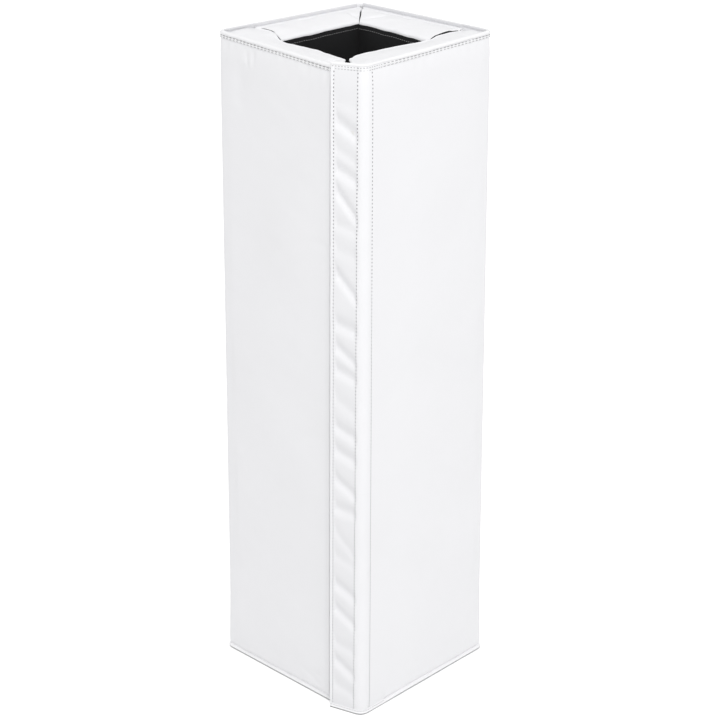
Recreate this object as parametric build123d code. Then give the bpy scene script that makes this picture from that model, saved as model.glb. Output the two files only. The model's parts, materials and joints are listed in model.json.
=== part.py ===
from build123d import *
from math import asin, cos, degrees, radians, sin, sqrt, tan
import os

# Column and its free room
COLUMN = 152.0
COLUMN_PLAY = 2.0

# Pad
HEIGHT = 1067.0
FOAM_T = 66.6
VINYL_T = 1.2
LINING_T = 1.0
CROWN_RUN = 40.0
LEDGE_DROP = 7.0
LEDGE_FALL = 4.0
CAP_HEM = 9.0
FOAM_BEVEL_IN = 5.0
FOAM_BEVEL_DOWN = 18.0

# Edge binding
BINDING_T = 1.6
BINDING_H = 13.0
BINDING_SETBACK = 0.9
BINDING_ROUND = 2.0
ROLL_SHARE = 0.45

# Corners
FOLD_R = 3.2
CORNER_EASE = 2.0

# Closing flap and its tapes
FLAP_ROOT = 41.0
FLAP_REACH = 48.0
FLAP_NOSE_R = 26.0
FLAP_SWING = 150.0
FLAP_EDGE_GAP = 2.0
FOAM_SHY = 4.5
TAPE_W = 50.0
TAPE_T = 1.6
TAPE_EDGE = 3.0
TAPE_END = 20.0

# Clearances
PANEL_GAP = 0.5
PAD_FIT = 0.2
SEW_FIT = 0.1

# Depths behind the fullest plane of a face, worked out from the sheets sewn together
WALL = VINYL_T + FOAM_T + LINING_T + 2 * PAD_FIT
WIDTH = COLUMN + 2 * COLUMN_PLAY + 2 * WALL
SEAM_DRAW = BINDING_SETBACK + BINDING_T + SEW_FIT
CAP_STAND = SEAM_DRAW + VINYL_T + SEW_FIT
BINDING_IN = CAP_STAND + VINYL_T + SEW_FIT
BINDING_DEPTH = BINDING_IN + BINDING_T
AXIS_IN = BINDING_DEPTH + FOLD_R
POCKET_EDGE = SEAM_DRAW + VINYL_T + PAD_FIT
POCKET_END = SEAM_DRAW + VINYL_T + PANEL_GAP
SEAM_STOP = BINDING_T + SEW_FIT

# Layers of the closing corner, counted inwards from the outside of the flap
HOOK_DEPTH = VINYL_T + SEW_FIT
LOOP_DEPTH = HOOK_DEPTH + TAPE_T + SEW_FIT
TAB_DEPTH = LOOP_DEPTH + TAPE_T + SEW_FIT
NOSE_U = FLAP_NOSE_R - TAB_DEPTH

# Ends of the sheets and of the foam at the closing corner
FOLD_HALF = VINYL_T / 2 / tan(radians(180 - FLAP_SWING) / 2) + PANEL_GAP
FLAP_START = FLAP_ROOT - FOLD_HALF
LEFT_EDGE = FLAP_REACH + FLAP_EDGE_GAP
FRONT_EDGE = FLAP_ROOT + FOLD_HALF
CLOSURE_SETBACK = LEFT_EDGE + FOAM_SHY
TAPE_REACH = FLAP_REACH - TAPE_EDGE
TAPE_TURN = degrees((TAPE_W - TAPE_REACH + FLAP_NOSE_R) / (FLAP_NOSE_R - HOOK_DEPTH))

# Local frame of a panel: X along its width, Y inwards from its face, Z up
SECTION = Plane(origin=(0, 0, 0), x_dir=(0, 1, 0), z_dir=(1, 0, 0))
MIDDLE = Plane.XY.offset(HEIGHT / 2)
HALF = Plane(origin=(WIDTH / 2, 0, 0), z_dir=(1, 0, 0))
CORNER_AXIS = Axis((WIDTH - AXIS_IN, AXIS_IN, 0), (0, 0, 1))
NOSE_AXIS = Axis((NOSE_U, FLAP_NOSE_R, 0), (0, 0, 1))


def along(section, start, end):
    """Carry an upright section along the panel's width."""
    return Pos(start, 0, 0) * extrude(SECTION * section, amount=end - start)


def tall(points, low, high):
    """Raise a plan outline from one height to another."""
    return Pos(0, 0, low) * extrude(make_face(Polyline(points, close=True)), amount=high - low)


def turned(section, place, axis, angle):
    """Turn an upright section about an upright axis."""
    return revolve(Pos(place, 0, 0) * (SECTION * section), axis=axis, revolution_arc=angle)


def ledge(depth):
    """Height of the top ledge, which falls towards the column."""
    return HEIGHT - LEDGE_DROP - LEDGE_FALL * (depth - CAP_STAND) / (WALL - CAP_STAND)


# Upright sections


def crown_curve(depth, low, high):
    """Line of a padded face: drawn in at both seams, full between them."""
    seam = SEAM_DRAW + depth
    bend = (SEAM_DRAW**2 + CROWN_RUN**2) / (2 * SEAM_DRAW)
    half_turn = asin(CROWN_RUN / bend) / 2
    middle = depth + bend * (1 - cos(half_turn))
    rise = bend * sin(half_turn)
    full_low = BINDING_H + CROWN_RUN
    full_high = HEIGHT - full_low
    seam_high = HEIGHT - BINDING_H
    return [
        Line((seam, low), (seam, BINDING_H)),
        ThreePointArc((seam, BINDING_H), (middle, full_low - rise), (depth, full_low)),
        Line((depth, full_low), (depth, full_high)),
        ThreePointArc((depth, full_high), (middle, full_high + rise), (seam, seam_high)),
        Line((seam, seam_high), (seam, high)),
    ]


def sheet_section(depth, thickness):
    """Sheet that follows the padded face, with its sewn edges inside the bindings."""
    low, high = SEAM_STOP, HEIGHT - SEAM_STOP
    near, far = SEAM_DRAW + depth, SEAM_DRAW + depth + thickness
    ends = [Line((near, low), (far, low)), Line((near, high), (far, high))]
    return make_face(crown_curve(depth, low, high) + crown_curve(depth + thickness, low, high) + ends)


def short_section(depth, thickness, end):
    """Tape or tongue that follows the padded face and stops short of both bindings."""
    window = Pos(depth, HEIGHT / 2) * Rectangle(WIDTH, HEIGHT - 2 * end)
    return sheet_section(depth, thickness) & window


def foam_section():
    """Foam slab: padded face outside, bevelled edges on the column side."""
    depth = VINYL_T + PAD_FIT
    back = WALL - LINING_T - PAD_FIT
    below = VINYL_T + PAD_FIT
    high = ledge(POCKET_EDGE) - below
    bevel = back - FOAM_BEVEL_IN
    bevel_high = ledge(bevel) - below
    points = [(POCKET_EDGE, high), (bevel, bevel_high), (back, bevel_high - FOAM_BEVEL_DOWN)]
    points += [(u, HEIGHT - z) for u, z in reversed(points)]
    return make_face(crown_curve(depth, HEIGHT - high, high) + Polyline(points).edges())


def pocket_section():
    """Room between the two caps."""
    far = WALL + PANEL_GAP
    below = VINYL_T + SEW_FIT
    points = [(0, ledge(0) - below), (far, ledge(far) - below)]
    points += [(u, HEIGHT - z) for u, z in reversed(points)]
    return make_face(Polyline(points, close=True))


def cap_section():
    """Ledge sheet with the edge that stands up into the binding."""
    inner = CAP_STAND + VINYL_T
    top = HEIGHT - SEAM_STOP
    points = [
        (CAP_STAND, ledge(CAP_STAND) - VINYL_T),
        (CAP_STAND, top),
        (inner, top),
        (inner, ledge(inner)),
        (WALL, ledge(WALL)),
        (WALL, ledge(WALL) - VINYL_T),
    ]
    return make_face(Polyline(points, close=True))


def hem_section():
    """Hem of the ledge sheet, turned down behind the lining."""
    far = WALL - LINING_T - SEW_FIT
    near = far - VINYL_T
    overlap = VINYL_T / 2
    points = [
        (near, ledge(near) - overlap),
        (far, ledge(far) - overlap),
        (far, ledge(far) - VINYL_T - CAP_HEM),
        (near, ledge(far) - VINYL_T - CAP_HEM),
    ]
    return make_face(Polyline(points, close=True))


def top_corners(section):
    """Highest corners of a section, from the face inwards."""
    return section.vertices().group_by(Axis.Y)[-1].sort_by(Axis.X)


def binding_section(inner):
    """Tape folded over the standing edges, rolled outside, with its outer leg the longer one."""
    outer = BINDING_SETBACK
    slot = SEAM_DRAW - SEW_FIT
    far = inner + BINDING_T
    leg = HEIGHT - LEDGE_DROP + PAD_FIT
    points = [
        (outer, HEIGHT - BINDING_H),
        (outer, HEIGHT),
        (far, HEIGHT),
        (far, leg),
        (inner, leg),
        (inner, HEIGHT - BINDING_T),
        (slot, HEIGHT - BINDING_T),
        (slot, HEIGHT - BINDING_H),
    ]
    tape = make_face(Polyline(points, close=True))
    roll = min(BINDING_ROUND, ROLL_SHARE * (far - outer))
    rolled = fillet(top_corners(tape)[0], roll)
    return chamfer(top_corners(rolled)[-1], roll)


# Plan outlines of a panel's end, from the face to the column side, for an end at zero width


def full_end(inset, outer, inner):
    """End that runs on behind the next panel's face, eased round the hinge axis."""
    wall = POCKET_END + inset
    turn = AXIS_IN + CORNER_EASE + inset
    start = turn - (turn - wall) * outer / turn
    return [(start, outer), (wall, turn), (wall, inner)]


def butt_end(inset, outer, inner):
    """End that stands against the inner side of the next panel."""
    start = WALL + PANEL_GAP + inset
    return [(start, outer), (start, inner)]


def mitre_end(step):
    """End cut square as far as the step and mitred from there to the column."""

    def end(inset, outer, inner):
        miss = (PANEL_GAP / 2 + inset) * sqrt(2)
        flat = step + inset
        if flat - miss >= inner:
            return [(flat, outer), (flat, inner)]
        return [(flat, outer), (flat, flat - miss), (inner + miss, inner)]

    return end


def full_cap_end(inset, outer, inner):
    """Ledge end beside the next panel's binding, notched round the hinge axis."""
    wall = BINDING_DEPTH + PANEL_GAP + inset
    return [(AXIS_IN, outer), (AXIS_IN, AXIS_IN), (wall, AXIS_IN), (wall, inner)]


CORNER_MITRE = mitre_end(AXIS_IN + PANEL_GAP)
CLOSING_MITRE = mitre_end(CLOSURE_SETBACK)


def outline(ends, inset, outer, inner):
    """Plan outline between two kinds of end."""
    first, last = ends
    far_side = [(WIDTH - u, d) for u, d in last(inset, outer, inner)]
    return first(inset, outer, inner) + far_side[::-1]


# Pieces of one panel


def foam_core(ends):
    """Foam slab, cut to its ends in plan and to its padded section."""
    plan = outline(ends, LINING_T + PAD_FIT, 0, WALL)
    return tall(plan, 0, HEIGHT) & along(foam_section(), 0, WIDTH)


def lining(ends):
    """Lining on the column side and round both ends of the slab."""
    outside = tall(outline(ends, 0, POCKET_EDGE, WALL), 0, HEIGHT)
    inside = tall(outline(ends, LINING_T, POCKET_EDGE, WALL - LINING_T), 0, HEIGHT)
    return (outside - inside) & along(pocket_section(), 0, WIDTH)


def top_cap(ends, cap_ends):
    """Ledge sheet on top of the slab, with its hem behind the lining."""
    plate = along(cap_section(), 0, WIDTH) & tall(outline(cap_ends, 0, 0, WALL), 0, HEIGHT)
    room = outline(ends, LINING_T + SEW_FIT, 0, WALL)
    hem = along(hem_section(), 0, WIDTH) & tall(room, 0, HEIGHT)
    return plate + hem


def panel(ends, cap_ends, cover_end, binding_end):
    """All pieces of a panel whose cover and bindings run from a hinge axis to their far ends."""
    cap = top_cap(ends, cap_ends)
    binding = along(binding_section(BINDING_IN), AXIS_IN, WIDTH - binding_end)
    return {
        "foam_core": foam_core(ends),
        "face_cover": along(sheet_section(0, VINYL_T), AXIS_IN, WIDTH - cover_end),
        "lining": lining(ends),
        "top_cap": cap,
        "bottom_cap": mirror(cap, about=MIDDLE),
        "top_binding": binding,
        "bottom_binding": mirror(binding, about=MIDDLE),
    }


def closing_panel(cover_end, binding_end):
    """Panel with a full end at its hinge and a stepped mitre at the closing corner."""
    ends = (full_end, CLOSING_MITRE)
    cap_ends = (full_cap_end, mitre_end(CLOSURE_SETBACK - PANEL_GAP))
    return panel(ends, cap_ends, cover_end, binding_end)


def rear_panel():
    """Panel with a butt end at one hinge and a mitre at the other."""
    ends = (butt_end, CORNER_MITRE)
    return panel(ends, ends, AXIS_IN, AXIS_IN)


def corner_fold():
    """Sheet and bindings that run on round a corner, about its hinge axis."""
    place = WIDTH - AXIS_IN
    binding = turned(binding_section(BINDING_IN), place, CORNER_AXIS, 90)
    return {
        "fold": turned(sheet_section(0, VINYL_T), place, CORNER_AXIS, 90),
        "top_binding": binding,
        "bottom_binding": mirror(binding, about=MIDDLE),
    }


# Closing corner, in the front panel's frame


def wrapped(section, reach, turn):
    """Carry a section back from its reach on the left side and round the nose by an angle."""
    straight = along(section, NOSE_U - (reach - FLAP_NOSE_R), NOSE_U)
    return (straight + turned(section, NOSE_U, NOSE_AXIS, turn)).rotate(NOSE_AXIS, -90)


def flap_strip(section):
    """Carry a section from the flap's root, round the nose, to its free edge."""
    return along(section, NOSE_U, FLAP_START) + wrapped(section, FLAP_REACH, 90)


def closing_corner():
    """Flap and tapes of the closing corner."""
    cover = sheet_section(0, VINYL_T)
    binding = flap_strip(binding_section(CAP_STAND))
    hook = short_section(HOOK_DEPTH, TAPE_T, TAPE_END)
    loop = short_section(LOOP_DEPTH, TAPE_T, TAPE_END)
    tab = short_section(TAB_DEPTH, VINYL_T, BINDING_H + TAPE_EDGE)
    return {
        "flap_cover": flap_strip(cover),
        "flap_top_binding": binding,
        "flap_bottom_binding": mirror(binding, about=MIDDLE),
        "flap_fold": along(cover, FLAP_START + SEW_FIT, FRONT_EDGE - SEW_FIT),
        "hook_tape": wrapped(hook, TAPE_REACH, TAPE_TURN),
        "loop_tape": wrapped(loop, TAPE_REACH, TAPE_TURN),
        "loop_tab": wrapped(tab, LEFT_EDGE, TAPE_TURN),
    }


# Places of the four panels round the column

SIDE = WIDTH / 2
FRONT = Plane(origin=(-SIDE, -SIDE, 0), x_dir=(1, 0, 0), z_dir=(0, 0, 1)).location
RIGHT = Plane(origin=(SIDE, -SIDE, 0), x_dir=(0, 1, 0), z_dir=(0, 0, 1)).location
BACK = Plane(origin=(SIDE, SIDE, 0), x_dir=(-1, 0, 0), z_dir=(0, 0, 1)).location
LEFT = Plane(origin=(-SIDE, SIDE, 0), x_dir=(0, -1, 0), z_dir=(0, 0, 1)).location


def flipped(pieces):
    """Mirror image of a panel, end for end."""
    return {name: mirror(piece, about=HALF) for name, piece in pieces.items()}


def main():
    rear = rear_panel()
    groups = [
        ("left_", LEFT, closing_panel(LEFT_EDGE, LEFT_EDGE)),
        ("front_", FRONT, flipped(closing_panel(FRONT_EDGE, FLAP_START + SEW_FIT))),
        ("right_", RIGHT, rear),
        ("back_", BACK, flipped(rear)),
        ("back_left_", BACK, corner_fold()),
        ("back_right_", RIGHT, corner_fold()),
        ("front_right_", FRONT, corner_fold()),
        ("", FRONT, closing_corner()),
    ]
    os.makedirs("parts", exist_ok=True)
    for prefix, place, pieces in groups:
        for name, piece in pieces.items():
            export_step(place * piece, f"parts/{prefix}{name}.step")


main()
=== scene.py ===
"""Dresses the column protector pad: foam panels in white vinyl, bound rims, folding corners, a closing flap.

Lengths inside the classes are in millimetres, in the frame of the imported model, and become metres as a
mesh is made. A panel's own coordinates are across (along its outer face), depth (inwards from that face)
and height.
"""
from __future__ import annotations

import json
import logging
import math
from dataclasses import dataclass
from enum import Enum
from typing import Callable

import bpy
import numpy as np
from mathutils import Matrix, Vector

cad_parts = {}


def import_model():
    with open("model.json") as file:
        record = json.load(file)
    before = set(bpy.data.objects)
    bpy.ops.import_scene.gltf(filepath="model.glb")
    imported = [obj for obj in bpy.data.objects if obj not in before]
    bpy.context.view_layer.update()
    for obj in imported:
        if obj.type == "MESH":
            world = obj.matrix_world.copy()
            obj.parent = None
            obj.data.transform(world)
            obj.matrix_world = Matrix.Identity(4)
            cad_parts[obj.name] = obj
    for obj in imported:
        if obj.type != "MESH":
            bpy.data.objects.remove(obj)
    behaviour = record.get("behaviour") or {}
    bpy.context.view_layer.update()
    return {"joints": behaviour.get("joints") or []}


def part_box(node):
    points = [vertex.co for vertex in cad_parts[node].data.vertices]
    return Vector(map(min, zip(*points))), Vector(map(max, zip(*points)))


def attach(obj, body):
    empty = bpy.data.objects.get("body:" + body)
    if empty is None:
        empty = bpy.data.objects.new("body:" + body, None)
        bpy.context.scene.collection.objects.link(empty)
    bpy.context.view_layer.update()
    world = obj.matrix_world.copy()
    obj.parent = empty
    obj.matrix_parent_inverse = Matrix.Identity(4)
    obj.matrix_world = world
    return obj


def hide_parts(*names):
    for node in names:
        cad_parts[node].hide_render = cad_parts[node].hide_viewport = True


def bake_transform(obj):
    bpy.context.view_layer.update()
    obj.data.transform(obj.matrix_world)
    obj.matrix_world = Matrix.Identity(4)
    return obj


MM = 0.001
LOG = logging.getLogger("column_pad")

Array = np.ndarray
Colour = tuple[float, float, float]
Socket = bpy.types.NodeSocket

# Shortest and longest wave of an uneven surface, as shares of its usual length
WAVE_SPREAD = (0.6, 1.8)


def smooth(value: Array | float, low: float, high: float) -> Array:
    """Smoothstep: 0 up to low, 1 from high on, and an S between them."""
    t = np.clip((np.asarray(value, float) - low) / (high - low), 0.0, 1.0)
    return t * t * (3 - 2 * t)


def mix(first: Array | float, last: Array | float, share: Array | float) -> Array:
    """A value between two others: first at share 0, last at share 1."""
    return first + (last - first) * share


def square_to(vector: Array, axis: Array) -> Array:
    """The part of a vector that is square to an axis: vector - axis * (vector . axis) / (axis . axis)."""
    return vector - axis * (vector @ axis) / (axis @ axis)


def graded(count: int, pull: float) -> Array:
    """Numbers from 0 to 1, spaced closer at both ends: x - pull * sin(2 pi x) / (2 pi)."""
    x = np.linspace(0.0, 1.0, count)
    return x - pull * np.sin(2 * np.pi * x) / (2 * np.pi)


def ripple(x: Array, y: Array, size: float, seed: int, waves: int = 9) -> Array:
    """An uneven smooth surface: a sum of sine waves of unrelated directions over the root of their count.

    Args:
        x, y: surface coordinates in mm.
        size: the usual length of a wave in mm.
        seed: picks the set of waves.
        waves: how many waves are added.

    Returns:
        Heights of about unit size, with mean 0.
    """
    draw = np.random.default_rng(seed)
    turn = draw.uniform(0, 2 * np.pi, waves)
    step = 2 * np.pi / (size * draw.uniform(*WAVE_SPREAD, waves))
    phase = draw.uniform(0, 2 * np.pi, waves)
    x, y = np.broadcast_arrays(x, y)
    angle = x[..., None] * np.cos(turn) * step + y[..., None] * np.sin(turn) * step + phase
    return np.sin(angle).sum(-1) / math.sqrt(waves)


def unit(vectors: Array) -> Array:
    """Vectors in the last axis, each divided by its length."""
    return vectors / np.linalg.norm(vectors, axis=-1, keepdims=True)


def path_length(points: Array) -> Array:
    """Lengths of lines of points: the sum of the distances from each point to the next."""
    return np.linalg.norm(np.diff(points, axis=-2), axis=-1).sum(-1)


def rounded(left: Array, radius: float) -> Array:
    """Drop towards a rounded edge: radius * (1 - sqrt(1 - t^2)), t being 1 at the edge."""
    t = np.clip(1 - left / radius, 0.0, 1.0)
    return radius * (1 - np.sqrt(1 - t**2))


@dataclass(frozen=True)
class Wave:
    """Uneven waves of a soft surface: their height and usual length in mm, and the step to their seed."""

    height: float
    size: float
    step: int = 0

    def read(self, x: Array, y: Array, seed: int) -> Array:
        """Heights of the waves on surface coordinates in mm."""
        return self.height * ripple(x, y, self.size, seed + self.step)


@dataclass(frozen=True)
class Groove:
    """A groove along a line, or a bead if its depth is negative: its depth, place and width in mm."""

    depth: float
    at: float
    width: float

    def read(self, x: Array) -> Array:
        """Depths across the groove: depth * exp(-((x - at) / width)^2)."""
        return self.depth * np.exp(-(((x - self.at) / self.width) ** 2))


@dataclass(frozen=True)
class Tuck:
    """How cloth is drawn in towards a seam: its depth there, its reach, the seam's drop, and its limit."""

    depth: float
    reach: float
    seam: float
    limit: float

    def read(self, drop: Array) -> Array:
        """Depths at a drop from the rim: depth * t^2, t going from 0 to 1 at the seam and on to its limit."""
        return self.depth * np.clip((self.reach + self.seam - drop) / self.reach, 0.0, self.limit) ** 2


TOP_TUCK = Tuck(1.8, 28.0, 10.0, 1.1)
FACE_FOOT_TUCK = Tuck(4.0, 7.0, 6.0, 1.3)
FLAP_FOOT_TUCK = Tuck(1.7, 26.0, 7.0, 1.1)

WIDE_WAVE = Wave(0.55, 150.0)
FINE_WAVE = Wave(0.12, 36.0, 1)
PUCKER = Wave(0.35, 15.0, 2)
LEDGE_SWELL_WAVE = Wave(0.25, 70.0, 3)
LEDGE_WAVE = Wave(0.3, 26.0, 4)
LINING_WAVE = Wave(0.13, 60.0, 5)
RIM_WAVE = Wave(0.05, 38.0)
FLAP_WAVE = Wave(0.3, 60.0)

HEM_GROOVE = Groove(0.7, 5.5, 1.2)
HEM_BEAD = Groove(-1.0, 2.2, 1.6)
TAPE_GROOVE = Groove(2.6, 9.0, 1.3)


@dataclass(frozen=True)
class Line:
    """A smooth line through control points: a natural cubic spline, held level beyond its ends."""

    at: tuple[float, ...]
    value: tuple[float, ...]

    def read(self, x: Array) -> Array:
        """Values of the line.

        The bends at the knots solve the spline's three-term equations; between two knots it is a cubic.

        Args:
            x: where the line is read.

        Returns:
            The values at x.
        """
        at, value = np.array(self.at, float), np.array(self.value, float)
        step = np.diff(at)
        slope = np.diff(value) / step
        matrix, right = np.eye(len(at)), np.zeros(len(at))
        inner = np.arange(1, len(at) - 1)
        matrix[inner, inner - 1], matrix[inner, inner + 1] = step[:-1], step[1:]
        matrix[inner, inner] = 2 * (step[:-1] + step[1:])
        right[inner] = 6 * np.diff(slope)
        bend = np.linalg.solve(matrix, right)
        x = np.clip(x, at[0], at[-1])
        i = np.clip(np.searchsorted(at, x, side="right") - 1, 0, len(at) - 2)
        t, h, ahead = x - at[i], step[i], bend[i + 1]
        rise = slope[i] - h * (2 * bend[i] + ahead) / 6
        return value[i] + t * (rise + t * (bend[i] / 2 + t * (ahead - bend[i]) / (6 * h)))


class Side(Enum):
    """The four panels: name, the corner where across is 0, and the directions of across and of depth."""

    FRONT = ("front", (-1, -1), (1, 0), (0, 1))
    RIGHT = ("right", (1, -1), (0, 1), (-1, 0))
    BACK = ("back", (1, 1), (-1, 0), (0, -1))
    LEFT = ("left", (-1, 1), (0, -1), (1, 0))

    @property
    def label(self) -> str:
        """The panel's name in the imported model."""
        return self.value[0]


class End(Enum):
    """How a panel's foam ends: round the corner, at its neighbour, on the diagonal or before the flap."""

    FULL = "full"
    BUTT = "butt"
    MITRE = "mitre"
    CLOSING = "closing"


class Rim(Enum):
    """The two bound rims of the pad."""

    TOP = "top"
    BOTTOM = "bottom"


@dataclass(frozen=True)
class PadSizes:
    """Sizes of the pad in mm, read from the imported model."""

    half: float
    wall: float
    height: float
    turn: float
    flap_root: float

    @classmethod
    def read(cls, joints: list[dict]) -> PadSizes:
        """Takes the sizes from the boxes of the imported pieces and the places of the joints.

        Args:
            joints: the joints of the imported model.

        Returns:
            The sizes in mm.
        """
        place = {j["name"]: j["pos_m"] for j in joints}
        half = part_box("back_face_cover")[1].y / MM
        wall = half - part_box("back_lining")[0].y / MM
        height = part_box("back_top_binding")[1].z / MM
        turn = half - place["back_right_hinge"][0] / MM
        root = half + place["flap_hinge"][0] / MM
        return cls(half, wall, height, turn, root)

    @property
    def width(self) -> float:
        """The width over two opposite faces."""
        return 2 * self.half


@dataclass(frozen=True)
class Stance:
    """How the soft pad stands: the plan offset in mm of each upright edge at its top and at its foot.

    Corners are in the order left, closing, right, back. A point takes the share of each corner by its place
    in the plan.
    """

    half: float
    height: float
    signs: tuple[tuple[float, float], ...] = ((-1, 1), (-1, -1), (1, -1), (1, 1))
    top: tuple[tuple[float, float], ...] = ((1.4, 1.8), (-1.4, 0.1), (-1.4, 5.5), (5.4, -6.1))
    foot: tuple[tuple[float, float], ...] = ((-6.5, 14.2), (3.6, -3.0), (3.3, -4.9), (0.0, 0.2))

    def settle(self, points: Array) -> Array:
        """Moves points by the offsets, bilinear over the plan and linear in height.

        Args:
            points: points in mm, in the last axis.

        Returns:
            The moved points.
        """
        x, y = points[..., 0] / self.half, points[..., 1] / self.half
        rise = (points[..., 2] / self.height)[..., None]
        moved = points.copy()
        for sign, top, foot in zip(self.signs, self.top, self.foot):
            share = ((1 + sign[0] * x) * (1 + sign[1] * y) / 4)[..., None]
            moved[..., :2] += share * mix(np.array(foot), np.array(top), rise)
        return moved


# How far the top rim stands above its even height, or below it, at the start and the end of each panel, in mm
RIM_LIFT = {Side.LEFT: (3.2, -6.0), Side.BACK: (0.0, 3.2), Side.RIGHT: (2.5, 0.0), Side.FRONT: (0.0, 2.5)}

# Number of the stance's corner at each panel's start
CORNER_AT_START = {Side.LEFT: 0, Side.FRONT: 1, Side.RIGHT: 2, Side.BACK: 3}


@dataclass(frozen=True)
class PadSpace:
    """Turns a panel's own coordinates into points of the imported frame.

    The rows of every face begin at row_foot and end at row_top below the rim's height, and they are closer
    together up to row_low and from row_high below the rim on.
    """

    sizes: PadSizes
    stance: Stance
    lift_from: float = 0.6
    crush: float = 2.5
    crush_reach: float = 38.0
    crush_foot: float = 120.0
    crush_most: float = 1.2
    least_give: float = 0.6
    row_foot: float = 4.0
    row_low: float = 64.0
    row_high: float = 86.0
    row_top: float = 6.0
    row_counts: tuple[int, int, int] = (21, 162, 33)
    folds: tuple[tuple[int, int], ...] = ((-1, 1), (1, -1), (1, 1))

    def flat(self, side: Side, across: Array, depth: Array, height: Array) -> Array:
        """Points of a panel before the pad's stance: corner + across * its direction + depth * its direction.

        The top rim rises or droops from the panel's start to its end, by a share that fades out below it. The
        three folded corners are crushed inwards along their diagonal by crush * near^2 * near^2, near being 1
        at each face.

        Args:
            side: the panel.
            across, depth, height: the panel's own coordinates in mm.

        Returns:
            Points in mm.
        """
        across, depth, height = np.broadcast_arrays(across, depth, height)
        sizes = self.sizes
        first, last = RIM_LIFT[side]
        share = np.clip((across - sizes.turn) / (sizes.width - 2 * sizes.turn), 0.0, 1.0)
        lift = smooth(height, sizes.height * self.lift_from, sizes.height)
        height = height + mix(first, last, share) * lift
        _, corner, along, inward = side.value
        x = sizes.half * corner[0] + along[0] * across + inward[0] * depth
        y = sizes.half * corner[1] + along[1] * across + inward[1] * depth
        for sign_x, sign_y in self.folds:
            near_x = np.clip(1 - (sizes.half - sign_x * x) / self.crush_reach, 0.0, self.crush_most)
            near_y = np.clip(1 - (sizes.half - sign_y * y) / self.crush_reach, 0.0, self.crush_most)
            move = self.crush / math.sqrt(2) * near_x**2 * near_y**2 * smooth(height, 0.0, self.crush_foot)
            x, y = x - sign_x * move, y - sign_y * move
        return np.stack([x, y, height], -1).astype(float)

    def place(self, side: Side, across: Array, depth: Array, height: Array) -> Array:
        """Points of a panel as the pad stands, in mm."""
        return self.stance.settle(self.flat(side, across, depth, height))

    def give(self, side: Side, last: bool, height: Array | float) -> Array:
        """How much further a panel stops short of a corner that stands outwards, so that it can swing.

        Args:
            side: the panel.
            last: whether the corner is at the panel's end, not at its start.
            height: heights in mm.

        Returns:
            The length in mm, at least the least gap.
        """
        corner = (CORNER_AT_START[side] + last) % 4
        along = np.array(side.value[2]) * (1 if last else -1)
        foot, top = (float(along @ np.array(moves[corner])) for moves in (self.stance.foot, self.stance.top))
        return np.maximum(mix(foot, top, np.asarray(height) / self.sizes.height), self.least_give)

    def rim_height(self, rim: Rim, drop: Array) -> Array:
        """Height of a point that lies a drop inside a rim."""
        return self.sizes.height - drop if rim is Rim.TOP else drop

    def face_rows(self) -> Array:
        """Heights of the rows of every face, closer together near both rims.

        Returns:
            The heights in mm, upwards.
        """
        top = self.sizes.height
        stops = (self.row_foot, self.row_low, top - self.row_high, top - self.row_top)
        low, middle, high = (np.linspace(a, b, n) for a, b, n in zip(stops, stops[1:], self.row_counts))
        return np.concatenate([low[:-1], middle, high[1:]])

    def drawn_in(self, height: Array, foot: Tuck) -> Array:
        """How far a face is drawn in towards its rims: the tuck at the top and the given one at the foot."""
        return TOP_TUCK.read(self.sizes.height - height) + foot.read(height)


# Meshes


def grid_faces(rows: int, columns: int, around: bool = False) -> Array:
    """Quads of a grid of points in rows; the last column joins the first if it goes around.

    Args:
        rows, columns: the count of points each way.
        around: whether each row is a closed loop.

    Returns:
        An array of four corners for each quad.
    """
    index = np.arange(rows * columns).reshape(rows, columns)
    right = np.roll(index, -1, axis=1) if around else index[:, 1:]
    here = index if around else index[:, :-1]
    quads = [here[:-1], right[:-1], right[1:], here[1:]]
    return np.stack(quads, -1).reshape(-1, 4)


def closed_sheet(outer: Array, inner: Array) -> tuple[Array, Array]:
    """Joins two grids of the same size into a closed sheet with an edge strip all round.

    Args:
        outer, inner: grids of points; seen from outside, rows go up and columns go right.

    Returns:
        The points and the quads.
    """
    rows, columns = outer.shape[:2]
    front = grid_faces(rows, columns)
    index = np.arange(rows * columns).reshape(rows, columns)
    rim = np.concatenate([index[0, :-1], index[:-1, -1], index[-1, :0:-1], index[:0:-1, 0]])
    after, count = np.roll(rim, -1), rows * columns
    edge = np.stack([rim, rim + count, after + count, after], -1)
    points = np.concatenate([outer.reshape(-1, 3), inner.reshape(-1, 3)])
    return points, np.concatenate([front, front[:, ::-1] + count, edge])


def closed_block(lattice: Array) -> tuple[Array, Array]:
    """The outside of a block of points given on a lattice of three directions that form a right-handed set.

    Args:
        lattice: points on the lattice, one axis for each direction.

    Returns:
        The points of the outside and its quads.
    """
    index = np.arange(np.prod(lattice.shape[:3])).reshape(lattice.shape[:3])
    quads = []
    for axis in range(3):
        ahead = np.moveaxis(index, axis, 0)
        for layer, turned in ((ahead[0], axis != 1), (ahead[-1], axis == 1)):
            quad = np.stack([layer[:-1, :-1], layer[1:, :-1], layer[1:, 1:], layer[:-1, 1:]], -1)
            quads.append(quad.reshape(-1, 4)[:, :: -1 if turned else 1])
    kept, faces = np.unique(np.concatenate(quads), return_inverse=True)
    return lattice.reshape(-1, 3)[kept], faces.reshape(-1, 4)


def closed_sweep(loops: Array, turned: bool) -> tuple[Array, list[list[int]]]:
    """A closed profile carried along a path, with a flat cap at both ends.

    Args:
        loops: points by station along the path and place round the profile.
        turned: whether the faces are turned over.

    Returns:
        The points and the faces.
    """
    stations, around = loops.shape[:2]
    faces = grid_faces(stations, around, around=True)
    first = np.arange(around)
    caps = [first[::-1], first + (stations - 1) * around]
    flip = -1 if turned else 1
    return loops.reshape(-1, 3), [*faces[:, ::flip].tolist(), *(cap[::flip].tolist() for cap in caps)]


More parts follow.
